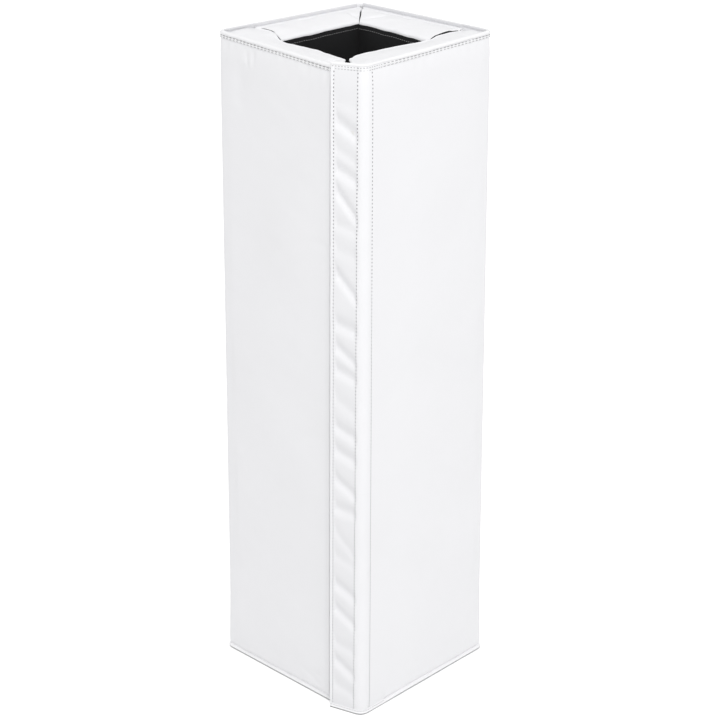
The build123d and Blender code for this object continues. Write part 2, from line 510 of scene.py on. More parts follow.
def make_piece(
    name: str,
    points: Array,
    faces: Array | list,
    finish: Finish,
    sharp: float = 50.0,
    inner: tuple[Finish, Array] | None = None,
) -> bpy.types.Object:
    """Puts points and faces into a new object at the origin, shaded smooth but for its sharp edges.

    Args:
        name: the piece's name.
        points: points in mm.
        faces: corners of each face.
        finish: the finish that it gets.
        sharp: edges that turn by more degrees than this stay sharp.
        inner: a second finish, and the faces that get it.

    Returns:
        The new object.
    """
    mesh = bpy.data.meshes.new(name)
    faces = faces.tolist() if isinstance(faces, np.ndarray) else faces
    mesh.from_pydata((np.asarray(points) * MM).tolist(), [], faces)
    mesh.polygons.foreach_set("use_smooth", np.ones(len(mesh.polygons), bool))
    mesh.set_sharp_from_angle(angle=math.radians(sharp))
    mesh.update()
    mesh.validate()
    piece = bpy.data.objects.new(name, mesh)
    bpy.context.scene.collection.objects.link(piece)
    mesh.materials.append(finish.material())
    if inner is not None:
        mesh.materials.append(inner[0].material())
        mesh.polygons.foreach_set("material_index", inner[1].astype(np.int32))
    LOG.info("%s: %d points, %d faces", name, len(mesh.vertices), len(mesh.polygons))
    return piece


# Finishes


class Shade:
    """Short ways to place and join shader nodes in one node tree."""

    def __init__(self, tree: bpy.types.NodeTree) -> None:
        """Keeps the tree to work on."""
        self.tree = tree

    def node(self, kind: str, links: dict | None = None, **values: object) -> bpy.types.Node:
        """Adds a node, sets its properties and fills its inputs.

        Args:
            kind: the node's type name.
            links: inputs by name or number, each a constant or an output socket.
            values: properties of the node.

        Returns:
            The node.
        """
        made = self.tree.nodes.new(kind)
        for key, value in values.items():
            setattr(made, key, value)
        for key, value in (links or {}).items():
            if isinstance(value, bpy.types.NodeSocket):
                self.tree.links.new(value, made.inputs[key])
            else:
                made.inputs[key].default_value = value
        return made

    def math(self, operation: str, a: object, b: object = 0.0) -> Socket:
        """The output of a Math node on two values or sockets."""
        return self.node("ShaderNodeMath", {0: a, 1: b}, operation=operation).outputs[0]

    def span(self, value: Socket, low: float, high: float) -> Socket:
        """A mask from 0 to 1 turned into values from low to high."""
        links = {"Value": value, "To Min": low, "To Max": high}
        return self.node("ShaderNodeMapRange", links).outputs["Result"]

    def effect(self, make: Callable[[], bpy.types.NodeTree], point: Socket, scale: float) -> Socket:
        """The output of a shared effect, built at its first use, at a scale in parts per metre."""
        tree = bpy.data.node_groups.get(make.__name__) or make()
        return self.node("ShaderNodeGroup", {"Vector": point, "Scale": scale}, node_tree=tree).outputs[0]


# Vinyl grain: how much finer its noise is than its cells, and the shares of both in its height
FINER = 2.3
CELL_SHARE = 0.7
NOISE_SHARE = 0.3
# Weave: how high the crossings of its threads stand against their fuzz
CROSSING_SHARE = 0.5
# Numbers of a Mix node's colour sockets: both inputs and the output
MIX_FIRST = 6
MIX_SECOND = 7
MIX_RESULT = 2


class Effect:
    """Shader groups that several finishes share: each takes a Vector and a Scale and gives one number."""

    @staticmethod
    def begin(name: str, output: str) -> tuple[Shade, Socket, Socket, Socket]:
        """Opens a group.

        Args:
            name: the group's name.
            output: the name of its output.

        Returns:
            The shade helper, the Vector and the Scale that the group is given, and the socket that it fills.
        """
        tree = bpy.data.node_groups.new(name, "ShaderNodeTree")
        tree.interface.new_socket("Vector", in_out="INPUT", socket_type="NodeSocketVector")
        tree.interface.new_socket("Scale", in_out="INPUT", socket_type="NodeSocketFloat")
        tree.interface.new_socket(output, in_out="OUTPUT", socket_type="NodeSocketFloat")
        shade = Shade(tree)
        given = shade.node("NodeGroupInput").outputs
        return shade, given["Vector"], given["Scale"], shade.node("NodeGroupOutput").inputs[output]

    @classmethod
    def vinyl_grain(cls) -> bpy.types.NodeTree:
        """Leather-like grain of coated vinyl: small cells with soft edges, broken by a finer noise.

        Returns:
            The group.
        """
        shade, point, scale, height = cls.begin("vinyl_grain", "Height")
        links = {"Vector": point, "Scale": scale, "Randomness": 0.9}
        cells = shade.node("ShaderNodeTexVoronoi", links, feature="SMOOTH_F1").outputs["Distance"]
        links = {"Vector": point, "Scale": shade.math("MULTIPLY", scale, FINER), "Detail": 2.0}
        fine = shade.node("ShaderNodeTexNoise", links).outputs["Fac"]
        parts = (shade.math("MULTIPLY", *part) for part in ((cells, CELL_SHARE), (fine, NOISE_SHARE)))
        shade.tree.links.new(shade.math("ADD", *parts), height)
        return shade.tree

    @classmethod
    def handling_clouds(cls) -> bpy.types.NodeTree:
        """Soft clouds of handling and slight yellowing: a wide noise with its contrast raised.

        Returns:
            The group.
        """
        shade, point, scale, mask = cls.begin("handling_clouds", "Mask")
        links = {"Vector": point, "Scale": scale, "Detail": 5.0, "Roughness": 0.6, "Distortion": 0.4}
        cloud = shade.node("ShaderNodeTexNoise", links).outputs["Fac"]
        raised = shade.node("ShaderNodeMapRange", {"Value": cloud, "From Min": 0.3, "From Max": 0.7})
        shade.tree.links.new(raised.outputs["Result"], mask)
        return shade.tree

    @classmethod
    def plain_weave(cls) -> bpy.types.NodeTree:
        """Plain weave on upright cloth: threads across by x + y and up by z, over and under in turn.

        Returns:
            The group.
        """
        shade, point, scale, height = cls.begin("plain_weave", "Height")
        part = shade.node("ShaderNodeSeparateXYZ", {"Vector": point}).outputs
        turn = shade.math("MULTIPLY", scale, math.pi)
        level = shade.math("ADD", part["X"], part["Y"])
        across, up = (shade.math("SINE", shade.math("MULTIPLY", way, turn)) for way in (level, part["Z"]))
        links = {"Vector": point, "Scale": 1400.0, "Detail": 2.0}
        fuzz = shade.node("ShaderNodeTexNoise", links).outputs["Fac"]
        crossing = shade.math("MULTIPLY", shade.math("MULTIPLY", across, up), CROSSING_SHARE)
        shade.tree.links.new(shade.math("ADD", crossing, fuzz), height)
        return shade.tree


@dataclass(frozen=True)
class Finish:
    """What all finishes share: colours and roughness mixed by clouds, and a relief on the normal.

    Clouds and the grain of the relief are counted per metre, and the depth of the relief is in mm.
    """

    name: str
    colour: Colour
    worn: Colour
    rough: tuple[float, float]
    grain: float = 650.0
    clouds: float = 6.0
    specular: float = 0.25
    sheen: float = 0.0
    relief_depth: float = 0.12
    relief_strength: float = 0.5
    effect: Callable[[], bpy.types.NodeTree] = Effect.vinyl_grain

    def material(self) -> bpy.types.Material:
        """The finish's material, built at its first use.

        Returns:
            The material.
        """
        if self.name in bpy.data.materials:
            return bpy.data.materials[self.name]
        made = bpy.data.materials.new(self.name)
        made.use_nodes = True
        made.diffuse_color = (*self.colour, 1.0)
        shade = Shade(made.node_tree)
        body = made.node_tree.nodes["Principled BSDF"]
        body.inputs["Specular IOR Level"].default_value = self.specular
        body.inputs["Sheen Weight"].default_value = self.sheen
        point = shade.node("ShaderNodeTexCoord").outputs["Object"]
        self.cloud(shade, body, point)
        self.roughen(shade, body, point)
        return made

    def cloud(self, shade: Shade, body: bpy.types.Node, point: Socket) -> None:
        """Mixes the two colours and the roughness by the clouds of handling.

        Args:
            shade: helper on the material's tree.
            body: the surface shader.
            point: object coordinates.
        """
        mask = shade.effect(Effect.handling_clouds, point, self.clouds)
        links = {"Factor": mask, MIX_FIRST: (*self.colour, 1.0), MIX_SECOND: (*self.worn, 1.0)}
        mixed = shade.node("ShaderNodeMix", links, data_type="RGBA").outputs[MIX_RESULT]
        shade.tree.links.new(mixed, body.inputs["Base Color"])
        shade.tree.links.new(shade.span(mask, *self.rough), body.inputs["Roughness"])

    def roughen(self, shade: Shade, body: bpy.types.Node, point: Socket) -> None:
        """Joins the finish's relief to the shader's normal through a Bump node.

        Args:
            shade: helper on the material's tree.
            body: the surface shader.
            point: object coordinates.
        """
        height = shade.effect(self.effect, point, self.grain)
        links = {"Height": height, "Distance": self.relief_depth * MM, "Strength": self.relief_strength}
        shade.tree.links.new(shade.node("ShaderNodeBump", links).outputs["Normal"], body.inputs["Normal"])


@dataclass(frozen=True)
class CoatedVinyl(Finish):
    """Coated vinyl: satin, with a fine grain and faint clouds."""


@dataclass(frozen=True)
class WovenCloth(Finish):
    """Woven cloth: matt, with its threads on the normal and a little sheen."""

    grain: float = 900.0
    clouds: float = 14.0
    specular: float = 0.2
    sheen: float = 0.05
    relief_depth: float = 0.25
    relief_strength: float = 0.7
    effect: Callable[[], bpy.types.NodeTree] = Effect.plain_weave


@dataclass(frozen=True)
class TapeFace(Finish):
    """The face of hook or loop tape: small hooks or a brushed pile as coarse cells on the normal."""

    clouds: float = 30.0
    specular: float = 0.2
    sheen: float = 0.1
    relief_depth: float = 0.8
    relief_strength: float = 1.0


@dataclass(frozen=True)
class Thread(Finish):
    """Twisted sewing thread: a fine twist on the normal."""

    grain: float = 2600.0
    clouds: float = 40.0
    specular: float = 0.5
    relief_depth: float = 0.2
    relief_strength: float = 0.6


VINYL = CoatedVinyl("white_vinyl_face", (0.872, 0.872, 0.889), (0.858, 0.858, 0.874), (0.42, 0.5))
BINDING = CoatedVinyl("white_vinyl_tape", (0.88, 0.88, 0.892), (0.865, 0.865, 0.876), (0.36, 0.44), 900.0)
# Painted shade: a darker copy of the face vinyl for the flap's outside between its first two sewn rows
SHADED_FLAP_VINYL = CoatedVinyl("flap_vinyl_painted_shade", (0.826, 0.826, 0.843), (0.814, 0.814, 0.83), (0.42, 0.5))
# Painted shade: a darker copy of the tape, put on the inner side of the top rims where shade falls
INNER_SHADE_TAPE = CoatedVinyl("tape_inner_painted_shade", (0.72, 0.72, 0.735), (0.70, 0.70, 0.715), (0.5, 0.6), 900.0)
# Painted contact shadow: a near-black band on the underside of the foot tape, where the pad meets the floor
CONTACT_SHADOW_PAINT = CoatedVinyl("painted_contact_shadow", (0.02, 0.02, 0.022), (0.03, 0.03, 0.032), (0.5, 0.6), 900.0)
LINING = WovenCloth("black_woven_lining", (0.010, 0.010, 0.011), (0.016, 0.016, 0.017), (0.78, 0.9))
HOOKS = TapeFace("hook_tape_face", (0.80, 0.80, 0.79), (0.74, 0.74, 0.73), (0.55, 0.7), 520.0)
LOOPS = TapeFace("loop_tape_face", (0.83, 0.83, 0.82), (0.78, 0.78, 0.77), (0.75, 0.9), 900.0)
# Thread colour and painted shade: the grey also stands for the shade of the needle holes and dents that the
# stitches sit in
SEAM_THREAD_AND_SHADE = Thread("seam_thread_and_hole_shade", (0.5, 0.5, 0.51), (0.42, 0.42, 0.43), (0.5, 0.6))
# Thread colour and painted shade: the dark grey also stands for the shade of the needle holes and dents of
# the flap's rows
FLAP_THREAD_AND_SHADE = Thread("flap_thread_and_hole_shade", (0.32, 0.32, 0.325), (0.26, 0.26, 0.265), (0.5, 0.6))
LINING_THREAD = Thread("pale_lining_thread", (0.42, 0.42, 0.42), (0.30, 0.30, 0.30), (0.5, 0.6))


# Sewing


@dataclass(frozen=True)
class Stitching:
    """Rows of sewing: each stitch is a small six-sided spindle lying along its row."""

    pitch: float
    length: float
    width: float
    proud: float = 0.45
    sides: int = 6
    rings: tuple[float, ...] = (-0.5, -0.3, 0.3, 0.5)
    swell: tuple[float, ...] = (0.35, 1.0, 1.0, 0.35)
    sharp: float = 80.0

    def row(self, path: Array, normal: Array) -> Array:
        """Points of all stitches along a path.

        A stitch is four rings of six points: length * the ring's place along the row, and an ellipse round it
        of half the width across the row and proud outwards, times the ring's swell.

        Args:
            path: points of the row in mm.
            normal: outward directions at these points.

        Returns:
            Points by stitch, ring and place round the ring.
        """
        run = np.concatenate([[0.0], np.cumsum(np.linalg.norm(np.diff(path, axis=0), axis=1))])
        count = max(int(run[-1] / self.pitch), 1)
        middle = (np.arange(count) + 0.5) * run[-1] / count
        at, out = self.along(run, path, middle), self.along(run, normal, middle)
        ahead = unit(self.along(run, path, middle + 0.5) - self.along(run, path, middle - 0.5))
        out = unit(out - (out * ahead).sum(1, keepdims=True) * ahead)
        turn = np.arange(self.sides) * 2 * np.pi / self.sides
        ring, swell = np.array(self.rings)[:, None], np.array(self.swell)[:, None]
        parts = (
            (ring * self.length * np.ones(self.sides), ahead),
            (swell * np.cos(turn) * self.width / 2, np.cross(out, ahead)),
            (swell * np.sin(turn) * self.proud, out),
        )
        return at[:, None, None] + sum(size[None, ..., None] * way[:, None, None] for size, way in parts)

    @staticmethod
    def along(run: Array, values: Array, at: Array) -> Array:
        """Values along a row at the given lengths, by straight lines between points, level past its ends."""
        return np.stack([np.interp(at, run, values[:, i]) for i in range(3)], -1)

    def sew(self, name: str, rows: list[tuple[Array, Array]], finish: Finish) -> bpy.types.Object:
        """Makes one piece of all stitches of the given rows.

        Args:
            name: the piece's name.
            rows: path and outward directions of each row.
            finish: the thread.

        Returns:
            The new piece.
        """
        stitches = np.concatenate([self.row(path, normal) for path, normal in rows])
        last, cap = (len(self.rings) - 1) * self.sides, np.arange(self.sides)
        first = (np.arange(len(stitches)) * len(self.rings) * self.sides)[:, None]
        walls = grid_faces(len(self.rings), self.sides, around=True)[None] + first[:, None]
        caps = np.concatenate([cap[::-1] + first, cap + last + first])
        faces = [*walls.reshape(-1, 4).tolist(), *caps.tolist()]
        return make_piece(name, stitches.reshape(-1, 3), faces, finish, self.sharp)


RIM_STITCH = Stitching(7.6, 5.2, 1.25)
FLAP_STITCH = Stitching(5.6, 2.4, 1.5)
HEM_STITCH = Stitching(4.6, 2.8, 1.1)
LINING_STITCH = Stitching(5.0, 3.4, 0.7, 0.3)


# Fabric folds


@dataclass(frozen=True)
class Crease:
    """A soft fold line on a surface: a bent line through three control points, its depth and width in mm."""

    line: tuple[tuple[float, float], tuple[float, float], tuple[float, float]]
    depth: float
    width: float
    samples: int = 33
    fade: float = 0.6

    def press(self, x: Array, y: Array) -> Array:
        """How far the surface is pressed in: depth * exp(-(distance / width)^2), fading to the line's ends.

        Args:
            x, y: surface coordinates in mm.

        Returns:
            The depth at each point.
        """
        t = np.linspace(0.0, 1.0, self.samples)
        a, b, c = (np.array(p, float) for p in self.line)
        curve = np.outer((1 - t) ** 2, a) + np.outer(2 * t * (1 - t), b) + np.outer(t**2, c)
        x, y = np.broadcast_arrays(x, y)
        gap = np.hypot(x[..., None] - curve[:, 0], y[..., None] - curve[:, 1])
        faded = np.sin(np.pi * t) ** self.fade
        return self.depth * faded[gap.argmin(-1)] * np.exp(-((gap.min(-1) / self.width) ** 2))


def pressed(creases: tuple[Crease, ...], x: Array, y: Array) -> Array:
    """How far a surface is pressed in by all its creases together, in mm."""
    return sum((crease.press(x, y) for crease in creases), np.zeros(np.shape(x)))


@dataclass(frozen=True)
class Fold:
    """A pulled fold of the flap: the heights of its line at the first two sewn rows, its depth and its width.

    Its lower side is narrower, by the share steep. It fades in and out over shares of the way across.
    """

    start: float
    end: float
    depth: float = 4.6
    width: float = 13.0
    steep: float = 0.65
    fade_in: tuple[float, float] = (0.0, 0.14)
    fade_out: tuple[float, float] = (0.86, 1.1)

    def rise(self, share: Array, height: Array) -> Array:
        """How far the fold stands out: a valley on a slanting line, so it is negative, faded at both rows.

        With s the height above the line, it is -depth * exp(-(s / width)^2), the width being smaller below.

        Args:
            share: 0 at the first sewn row, 1 at the second.
            height: heights in mm.

        Returns:
            The rise in mm.
        """
        above = height - mix(self.start, self.end, share)
        valley = np.exp(-((above / np.where(above > 0, self.width, self.steep * self.width)) ** 2))
        return -self.depth * valley * smooth(share, *self.fade_in) * (1 - smooth(share, *self.fade_out))


# Panels


@dataclass
class Panel:
    """One padded side of the wrap: the vinyl-covered foam and its black lining.

    Lines give the drawn outline of its top: the depth of the column side by across, and the inset of each end
    by depth. Steps are the depths of the pad's layers of points. Spans are where a change begins and ends.
    """

    space: PadSpace
    side: Side
    start: End
    end: End
    seed: int
    reach_line: Line
    start_line: Line | None = None
    end_line: Line | None = None
    face_creases: tuple[Crease, ...] = ()
    ledge_creases: tuple[Crease, ...] = ()
    columns: int = 104
    grading: float = 0.6
    outer_steps: tuple[float, ...] = (0, 1, 2, 2.3, 4, 5, 6, 6.7, 7.3, 7.9, 8.5, 9.1, 9.8, 10.8)
    middle_steps: tuple[float, ...] = tuple(np.arange(12.5, 60.0, 2.5))
    inner_steps: tuple[float, ...] = (61, 62.5, 63.5, 64.5, 65.5, 66.5, 67.3, 68, 68.5, 68.9, 69.1, 69.2)
    sharp: float = 55.0
    flange: float = 2.1
    butt: float = 72.0
    closing: float = 52.0
    closing_foot: float = 66.0
    mitre_room: float = 1.5
    heel: float = 5.5
    heel_depth: tuple[float, float] = (2.0, 12.0)
    heel_height: tuple[float, float] = (12.0, 60.0)
    end_rounds: int = 5
    lip_begin: float = 90.0
    lip_end: float = 12.0
    swell: float = 2.4
    quiet: float = 14.0
    quiet_closing: float = 70.0
    pucker_seam: float = 13.0
    pucker_fade: float = 14.0
    pucker_stretch: float = 0.35
    crease_quiet: float = 6.0
    relief_depth: float = 20.0
    foot_step: float = 3.0
    tape_span: tuple[float, float] = (3.0, 8.0)
    ledge_span: tuple[float, float] = (4.0, 8.5)
    ledge_drop: float = 7.0
    ledge_fall: float = 6.0
    ledge_swell: float = 2.4
    ledge_fullness: float = 0.8
    ledge_kept: float = 4.5
    kept_span: tuple[float, float] = (40.0, 85.0)
    column_roll: float = 1.8
    end_roll: float = 1.5
    lining_foot: float = 8.0
    lining_top: float = 14.5
    lining_coarse: float = 84.0
    lining_fine: float = 80.0
    lining_rows: tuple[int, int] = (40, 34)
    lining_gap: float = 0.5
    lining_near: float = 0.1
    lining_off: float = 0.9
    lining_sewn: float = 6.5
    lining_thread: float = 0.95
    lining_steps: tuple[float, ...] = tuple(range(6, 69, 3))

    @property
    def body(self) -> str:
        """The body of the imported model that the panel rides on."""
        return f"{self.side.label}_panel"

    def inset(self, last: bool, share: Array, reach: Array, height: Array) -> Array:
        """How far from its corner the panel ends at a share of its depth.

        A full end has a heel that reaches into the corner behind its face, a butt end leaves only a thin
        flange beyond its neighbour, a mitre follows the diagonal, and a closing end stops short of the flap.
        Near the top rim the end follows its drawn line.

        Args:
            last: whether it is the panel's end, not its start.
            share: 0 at the outer face, 1 at the column side.
            reach: depth of the column side at this end.
            height: heights in mm.

        Returns:
            The inset in mm.
        """
        kind, line = (self.end, self.end_line) if last else (self.start, self.start_line)
        turn, depth = self.space.sizes.turn + self.space.give(self.side, last, height), share * reach
        behind = share * self.space.sizes.wall > self.flange
        if kind is End.FULL:
            heel = smooth(depth, *self.heel_depth) * smooth(height, *self.heel_height)
            plain = turn - self.heel * heel
        elif kind is End.BUTT:
            plain = np.where(behind, self.butt, turn)
        elif kind is End.MITRE:
            plain = np.maximum(turn, depth + self.mitre_room)
        else:
            plain = mix(self.closing, self.closing_foot, 1 - height / self.space.sizes.height)
            plain = np.maximum(plain, depth + self.mitre_room)
        return plain if line is None else mix(plain, line.read(depth), self.near_top(height) * behind)

    def near_top(self, height: Array) -> Array:
        """1 at the top rim, 0 from where the soft lip begins on down."""
        top = self.space.sizes.height
        return smooth(height, top - self.lip_begin, top - self.lip_end)

    def reach(self, across: Array, height: Array) -> Array:
        """Depth of the column side: the wall below, the drawn line of the soft lip near the top rim."""
        wall = self.space.sizes.wall
        return mix(wall, self.reach_line.read(across), self.near_top(height))

    def ends(self, share: Array, height: Array) -> tuple[Array, Array]:
        """Across at both ends of the panel.

        The depth of the column side at an end depends on where the end is, so both are found in turn, a few
        times over.

        Args:
            share: 0 at the outer face, 1 at the column side.
            height: heights in mm.

        Returns:
            Across at the start and at the end.
        """
        width = self.space.sizes.width
        made = []
        for last, sign, origin in ((False, 1, 0.0), (True, -1, width)):
            reach = np.full(np.shape(height), self.space.sizes.wall)
            for _ in range(self.end_rounds):
                reach = self.reach(origin + sign * self.inset(last, 1.0, reach, height), height)
            made.append(origin + sign * self.inset(last, share, reach, height))
        return made[0], made[1]

    def face_relief(self, across: Array, height: Array) -> Array:
        """How far the face is pressed in, in mm.

        Soft waves and the crown of the foam, which swells outwards, fade towards both ends. Puckers fade out
        below the top seam, and creases run almost to the ends.

        Args:
            across, height: place on the face.

        Returns:
            The depth at each point.
        """
        sizes, seed = self.space.sizes, self.seed
        low, high = self.ends(0.0, height)
        quiet = [self.quiet_closing if kind is End.CLOSING else self.quiet for kind in (self.start, self.end)]
        inner = smooth(across - low, 0.0, quiet[0]) * smooth(high - across, 0.0, quiet[1])
        edge = smooth(across - low, 0.0, self.crease_quiet) * smooth(high - across, 0.0, self.crease_quiet)
        below = np.clip(sizes.height - self.pucker_seam - height, 0, None)
        wave = WIDE_WAVE.read(across, height, seed) + FINE_WAVE.read(across, height, seed)
        pucker = PUCKER.read(across, height * self.pucker_stretch, seed) * np.exp(-below / self.pucker_fade)
        crown = np.sin(np.pi * np.clip(across / sizes.width, 0, 1)) * np.sin(np.pi * height / sizes.height)
        creased = pressed(self.face_creases, across, height)
        return (wave - self.swell * crown) * inner + (pucker + creased) * edge

    def ledge(self, across: Array, depth: Array, low: Array, high: Array) -> Array:
        """Height of the top surface below the rim's height, in mm.

        It drops inside the binding to the ledge, swells on its way to the column, ends there in the bead of a
        narrow hem, and rolls over at the column side and at both ends.

        Args:
            across, depth: place on the ledge.
            low, high: across at both ends.

        Returns:
            The drop in mm.
        """
        reach, seed = self.reach_line.read(across), self.seed
        left, share = reach - depth, np.clip(depth / reach, 0, 1)
        uneven = 1 + LEDGE_SWELL_WAVE.read(across, depth, seed)
        swell = self.ledge_swell * np.sin(np.pi * share) ** self.ledge_fullness * uneven
        sewn = HEM_GROOVE.read(left) + HEM_BEAD.read(left) + TAPE_GROOVE.read(depth)
        soft = pressed(self.ledge_creases, across, depth) + LEDGE_WAVE.read(across, depth, seed)
        beside = np.minimum(across - low, high - across)
        rolled = rounded(left, self.column_roll) + rounded(beside, self.end_roll)
        rim, kept = self.space.row_top, 0.0
        if End.FULL in (self.start, self.end):
            far = across if self.start is End.FULL else self.space.sizes.width - across
            kept = self.ledge_kept * (1 - smooth(far, *self.kept_span))
        inside = mix(rim, self.ledge_drop, smooth(depth, *self.tape_span)) - kept * share
        formed = self.ledge_fall * share - swell + sewn + soft + rolled
        return inside + formed * smooth(depth, *self.ledge_span)

    def pad_points(self) -> Array:
        """The pad on a lattice of across, depth and height.

        Depth runs from the relief of the face to the column side, across from one end to the other at that
        depth, and height from the lower ledge to the upper one.

        Returns:
            Points in mm as the pad stands.
        """
        sizes = self.space.sizes
        steps = np.array([*self.outer_steps, *self.middle_steps, *self.inner_steps])
        share = graded(self.columns, self.grading)[:, None, None]
        nominal = (steps / steps[-1])[None, :, None]
        rows = self.space.face_rows()
        rise = ((rows - rows[0]) / (rows[-1] - rows[0]))[None, None, :]
        level, deep = np.broadcast_arrays(rows[None, None, :], nominal * sizes.wall)
        low, high = self.ends(np.broadcast_to(nominal, level.shape), level)
        across = mix(low, high, share)
        reach = self.reach(across, np.broadcast_to(level, across.shape))
        relief = self.face_relief(across[:, 0], np.broadcast_to(rows, across[:, 0].shape))[:, None]
        faded = relief * (1 - smooth(deep, 0.0, self.relief_depth))
        crown = self.space.drawn_in(level, FACE_FOOT_TUCK) + faded
        depth = crown * (1 - nominal) + nominal * reach
        drop = self.ledge(across[..., -1], (nominal * reach)[..., -1], low[..., -1], high[..., -1])
        top = (sizes.height - drop)[..., None]
        foot = self.space.row_foot + self.foot_step * smooth(deep, *self.tape_span)
        return self.space.place(self.side, across, depth, mix(foot, top, rise))

    def build_pad(self) -> None:
        """The closed, vinyl-covered pad."""
        name = self.side.label
        pad = make_piece(f"{name}_pad", *closed_block(self.pad_points()), VINYL, self.sharp)
        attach(pad, self.body)
        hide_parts(f"{name}_foam_core", f"{name}_face_cover", f"{name}_top_cap", f"{name}_bottom_cap")

    def lining_path(self, level: Array) -> tuple[Array, Array]:
        """The lining's line in plan: up one end, along the column side and down the other end.

        Args:
            level: heights by row and place along the line, as the pad's own rows count them.

        Returns:
            Across and depth by row and place along the line.
        """
        first = 0 if self.start is End.FULL else len(self.lining_steps)
        step, stop = np.array(self.lining_steps) / self.space.sizes.wall, first + self.columns
        begin, middle, finish = level[:, :first], level[:, first:stop], level[:, stop:]
        low, high = self.ends(1.0, middle)
        across = mix(low, high, graded(self.columns, self.grading))
        parts = [(across, self.reach(across, middle))]
        if first:
            reach = self.reach(self.ends(1.0, begin)[0], begin)
            parts.insert(0, (self.ends(step, begin)[0], step * reach))
        if self.end is not End.FULL:
            reach, step = self.reach(self.ends(1.0, finish)[1], finish), step[::-1]
            parts.append((self.ends(step, finish)[1], step * reach))
        across, depth = (np.concatenate(made, 1) for made in zip(*parts))
        return across, depth

    def lining_points(self, height: Array, off: float) -> Array:
        """Points of the lining: its line in plan, set off square to itself, with slight waves on the outside.

        Its rows are stretched so that the top one runs just below the edge of the ledge.

        Args:
            height: heights of the rows in mm, the lining's even top being the last.
            off: distance from the foam in mm.

        Returns:
            Points in mm as the pad stands.
        """
        space, top, foot = self.space, self.space.sizes.height, self.lining_foot
        places = self.columns + len(self.lining_steps) * (2 - (self.start, self.end).count(End.FULL))
        even = np.full((1, places), top - space.row_top)
        across, depth = self.lining_path(even)
        peak = top - self.ledge(across, depth, *self.ends(1.0, even))
        stretch = (peak - self.lining_gap - foot) / (top - self.lining_top - foot)
        rows = foot + (height[:, None] - foot) * stretch
        base, tall = space.row_foot + self.foot_step, top - space.row_foot - space.row_top
        across, depth = self.lining_path(space.row_foot + (rows - base) * tall / (peak - base))
        ahead_u, ahead_v = np.gradient(across, axis=1), np.gradient(depth, axis=1)
        away = off * (1 + LINING_WAVE.read(across, rows, self.seed)) / np.hypot(ahead_u, ahead_v)
        return space.place(self.side, across - ahead_v * away, depth + ahead_u * away, rows)

    def build_lining(self) -> None:
        """The black lining: a thin closed sheet with a light row of sewing below its top."""
        name, foot, top = self.side.label, self.lining_foot, self.space.sizes.height - self.lining_top
        coarse, fine = self.lining_rows
        runs = ((foot, top - self.lining_coarse, coarse), (top - self.lining_fine, top, fine))
        height = np.concatenate([np.linspace(*run) for run in runs])
        offs = (self.lining_off, self.lining_near)
        outer, inner = (self.lining_points(height, off)[:, ::-1] for off in offs)
        lining = make_piece(f"{name}_lining_cloth", *closed_sheet(outer, inner), LINING)
        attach(lining, self.body)
        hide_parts(f"{name}_lining")
        flat = (float(path_length(outer[0])) * MM, (top - foot) * MM)
        row = np.full(1, top - self.lining_sewn)
        line, under = (self.lining_points(row, off)[0] for off in (self.lining_thread, self.lining_near))
        sewing = LINING_STITCH.sew(f"{name}_lining_sewing", [(line, line - under)], LINING_THREAD)
        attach(sewing, self.body)


# Bound rims

# Angles round the roll of a bound edge: from the leg up to the crest, down the inner side, and back under it
ROLL_RUNS = ((-62.0, 90.0, 10), (105.0, 180.0, 6), (196.0, 242.0, 4))
ROLL_ANGLES = np.radians(np.concatenate([np.linspace(*run) for run in ROLL_RUNS]))
# How far the inner side leans back under itself for each mm of the roll
ROLL_LEAN = 1.65
# The tape's cut edge, its leg's thickness, the leg's start below the roll, and the inner side's tail, in mm
CUT_EDGE = 0.5
LEG_THICK = 1.6
LEG_START = 0.8
TAIL_DEPTH = 0.2
TAIL_DROP = 1.0
# Edges of a tape that turn by more degrees than this stay sharp
TAPE_SHARP = 70.0
# Column of the leg's depth among the five lengths of a bound edge
LEG_DEPTH_COLUMN = 3
# A stretch of across that lies before the start of every rim, so that the rim stays one edge
NO_CHANGE = (-2.0, -1.0)


@dataclass(frozen=True)
class BoundEdge:
    """The folded tape on a rim: a leg sewn to the face, a roll over the edge and a side that leans back.

    Lengths are depths below the outer face or drops from the rim; rows are the drops of its rows of sewing.
    """

    roll: float = 3.3
    roll_depth: float = 3.4
    leg_foot: float = 10.8
    leg_depth: float = 0.7
    widest: float = 1.6
    rows: tuple[float, ...] = (6.4, 9.1)

    def mixed(self, other: BoundEdge, share: Array) -> Array:
        """The edge's five lengths along a rim, by the share of another edge at each station.

        Args:
            other: the other edge.
            share: its share at each station.

        Returns:
            The lengths by station.
        """
        edges = (self, other)
        own, its = (np.array([e.roll, e.roll_depth, e.leg_foot, e.leg_depth, e.widest]) for e in edges)
        return mix(own, its, share[:, None])

    @staticmethod
    def profile(lengths: Array, scale: Array | float = 1.0) -> tuple[Array, Array]:
        """The closed profile as depth and drop from the rim, at each station along the rim.

        It runs up the leg, round the roll by roll * (cos, sin), and down the inner side, which is widest just
        below the top and leans back under itself.

        Args:
            lengths: the five lengths at each station.
            scale: size of the roll at each station, near 1.

        Returns:
            Depth and drop by station and place round the profile, outward side first.
        """
        roll, middle, foot, leg, widest = (lengths[:, i : i + 1] for i in range(5))
        roll = roll * np.reshape(scale, (-1, 1))
        rise = np.where(ROLL_ANGLES <= np.pi / 2, roll, widest)
        down, under = rise * (1 - np.sin(ROLL_ANGLES)), widest - ROLL_LEAN * roll * np.sin(ROLL_ANGLES)
        arc_depth, arc_drop = middle - roll * np.cos(ROLL_ANGLES), np.where(ROLL_ANGLES <= np.pi, down, under)
        tail = (arc_depth[:, -1:] + TAIL_DEPTH, arc_drop[:, -1:] + TAIL_DROP)
        depth = [leg + CUT_EDGE, leg, leg, arc_depth, tail[0], leg + LEG_THICK]
        drop = [foot, foot - CUT_EDGE, arc_drop[:, :1] + LEG_START, arc_drop, tail[1], foot]
        return np.concatenate(depth, 1), np.concatenate(drop, 1)


